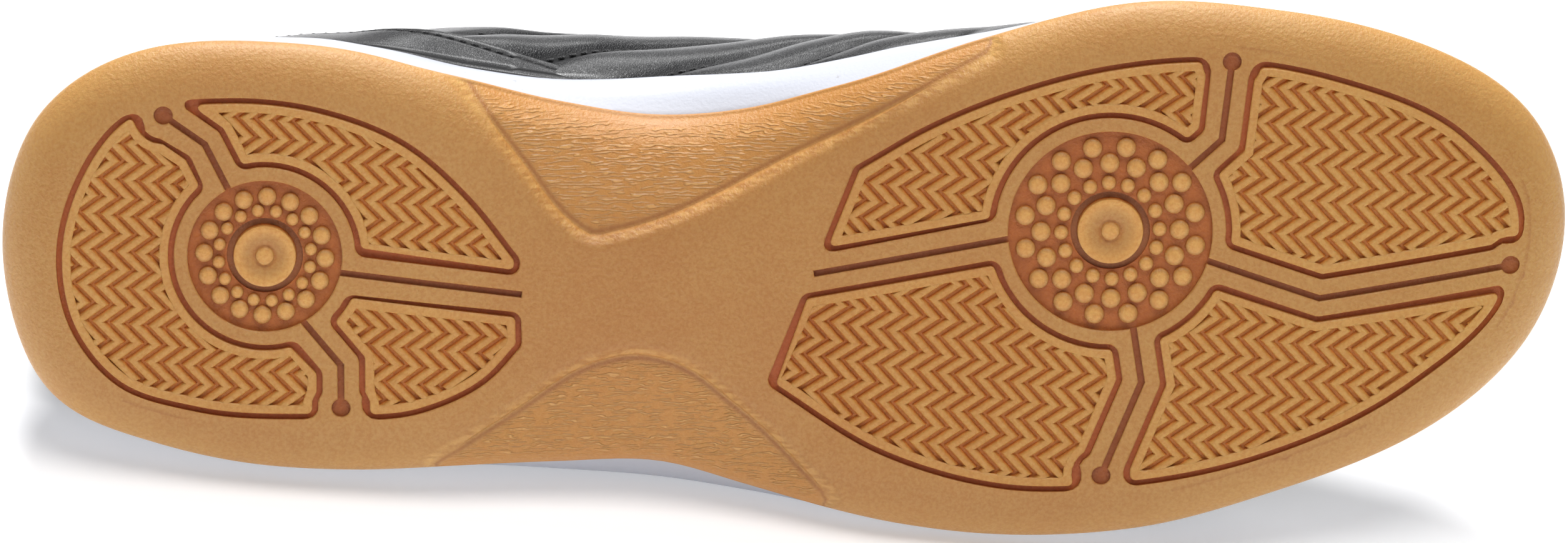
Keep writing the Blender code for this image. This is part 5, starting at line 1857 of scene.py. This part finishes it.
# What the lights face, and the lights. Columns: name, place, size in metres, power in watts.
LIT = (0, 0, 0.05)
LIGHTS = (
    ("key", (0.15, -0.35, 2.2), 1.6, 33.0),
    ("fill", (0.2, -2.2, 0.9), 1.6, 6.0),
    ("top", (-0.2, 1.0, 2.1), 0.8, 60.0),
    ("back", (0.1, 1.9, 1.2), 0.7, 9.0),
)
SKY_STRENGTH = 0.18
FLOOR_SIZE, FLOOR_GLOW = 30.0, 0.3
# The point that the view is centred on: x, s and z in the shoe's millimetres.
AIM = (144.83, -5.43, 7.0)
SENSOR_WIDTH, VIEW_DEPTH = 36.0, 100.0


def area_light(name, spot, size, power):
    """A round soft light that faces the shoe."""
    light = bpy.data.lights.new(name, "AREA")
    light.shape = "DISK"
    light.size = size
    light.energy = power
    obj = bpy.data.objects.new(name, light)
    obj.location = spot
    obj.rotation_euler = (Vector(spot) - Vector(LIT)).to_track_quat("Z", "Y").to_euler()
    bpy.context.scene.collection.objects.link(obj)


def sole_camera(settings):
    """A long lens that looks at the sole as the photograph does, with the shoe level in the view."""
    tilt = settings.tilt
    right = Vector((1, 0, 0))
    up = Vector((0, -math.cos(tilt), math.sin(tilt)))
    turn = PLACE.to_3x3().normalized() @ Matrix((right, up, right.cross(up))).transposed()
    aim = PLACE @ Vector((AIM[0], -AIM[1], AIM[2]))
    data = bpy.data.cameras.new("camera")
    data.sensor_width = SENSOR_WIDTH
    data.lens = SENSOR_WIDTH * settings.distance / settings.width
    data.clip_end = VIEW_DEPTH
    camera = bpy.data.objects.new("camera", data)
    camera.matrix_world = Matrix.Translation(aim + turn.col[2] * settings.distance) @ turn.to_4x4()
    bpy.context.scene.collection.objects.link(camera)
    bpy.context.scene.camera = camera


class SHOE_OT_stage(bpy.types.Operator):
    """Lay the floor, light the studio and place the camera"""

    bl_idname = "shoe.stage"
    bl_label = "Stage"

    def execute(self, context):
        settings = context.scene.shoe_studio
        bm = bmesh.new()
        bmesh.ops.create_grid(bm, x_segments=2, y_segments=2, size=FLOOR_SIZE)
        floor = bpy.data.objects.new("floor", mesh_of(bm))
        finish = {"Base Color": (*settings.floor, 1), "Roughness": 0.9, "Emission Strength": FLOOR_GLOW}
        floor.data.materials.append(Paint("floor", finish).material)
        context.scene.collection.objects.link(floor)
        floor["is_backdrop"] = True
        for light in LIGHTS:
            area_light(*light)
        world = bpy.data.worlds.new("studio")
        world.use_nodes = True
        sky = world.node_tree.nodes["Background"]
        sky.inputs["Color"].default_value = (1.0, 1.0, 1.0, 1)
        sky.inputs["Strength"].default_value = SKY_STRENGTH
        context.scene.world = world
        context.scene.view_settings.view_transform = "Standard"
        sole_camera(settings)
        return {"FINISHED"}


# Panel and registration

class SHOE_PT_pieces(bpy.types.Panel):
    """The shoe's settings and the buttons that build its pieces"""

    bl_label = "Court shoe"
    bl_space_type = "VIEW_3D"
    bl_region_type = "UI"
    bl_category = "Shoe"

    def draw(self, context):
        for group in SETTINGS:
            settings = getattr(context.scene, group)
            box = self.layout.box()
            for name in settings.__annotations__:
                box.prop(settings, name)
        for operator in OPERATORS:
            self.layout.operator(operator.bl_idname)


SETTINGS = {
    "shoe_gum": GumSettings,
    "shoe_foam": FoamSettings,
    "shoe_leather": LeatherSettings,
    "shoe_lace": LaceSettings,
    "shoe_studio": StudioSettings,
}
OPERATORS = (
    SHOE_OT_outsole, SHOE_OT_tread, SHOE_OT_pivots, SHOE_OT_midsole, SHOE_OT_footbed, SHOE_OT_upper,
    SHOE_OT_overlays, SHOE_OT_tongue, SHOE_OT_laces, SHOE_OT_stitching, SHOE_OT_stage,
)


def register():
    for name, group in SETTINGS.items():
        bpy.utils.register_class(group)
        setattr(bpy.types.Scene, name, bpy.props.PointerProperty(type=group))
    for operator in OPERATORS:
        bpy.utils.register_class(operator)
    bpy.utils.register_class(SHOE_PT_pieces)


def unregister():
    bpy.utils.unregister_class(SHOE_PT_pieces)
    for operator in reversed(OPERATORS):
        bpy.utils.unregister_class(operator)
    for name, group in SETTINGS.items():
        delattr(bpy.types.Scene, name)
        bpy.utils.unregister_class(group)


def main():
    register()
    for operator in OPERATORS:
        family, name = operator.bl_idname.split(".")
        getattr(getattr(bpy.ops, family), name)()
    boxes = {"cad": CAD_BOX, "visual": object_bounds()}
    {name: [list(corner) for corner in box] for name, box in boxes.items()}


if __name__ == "__main__":
    main()
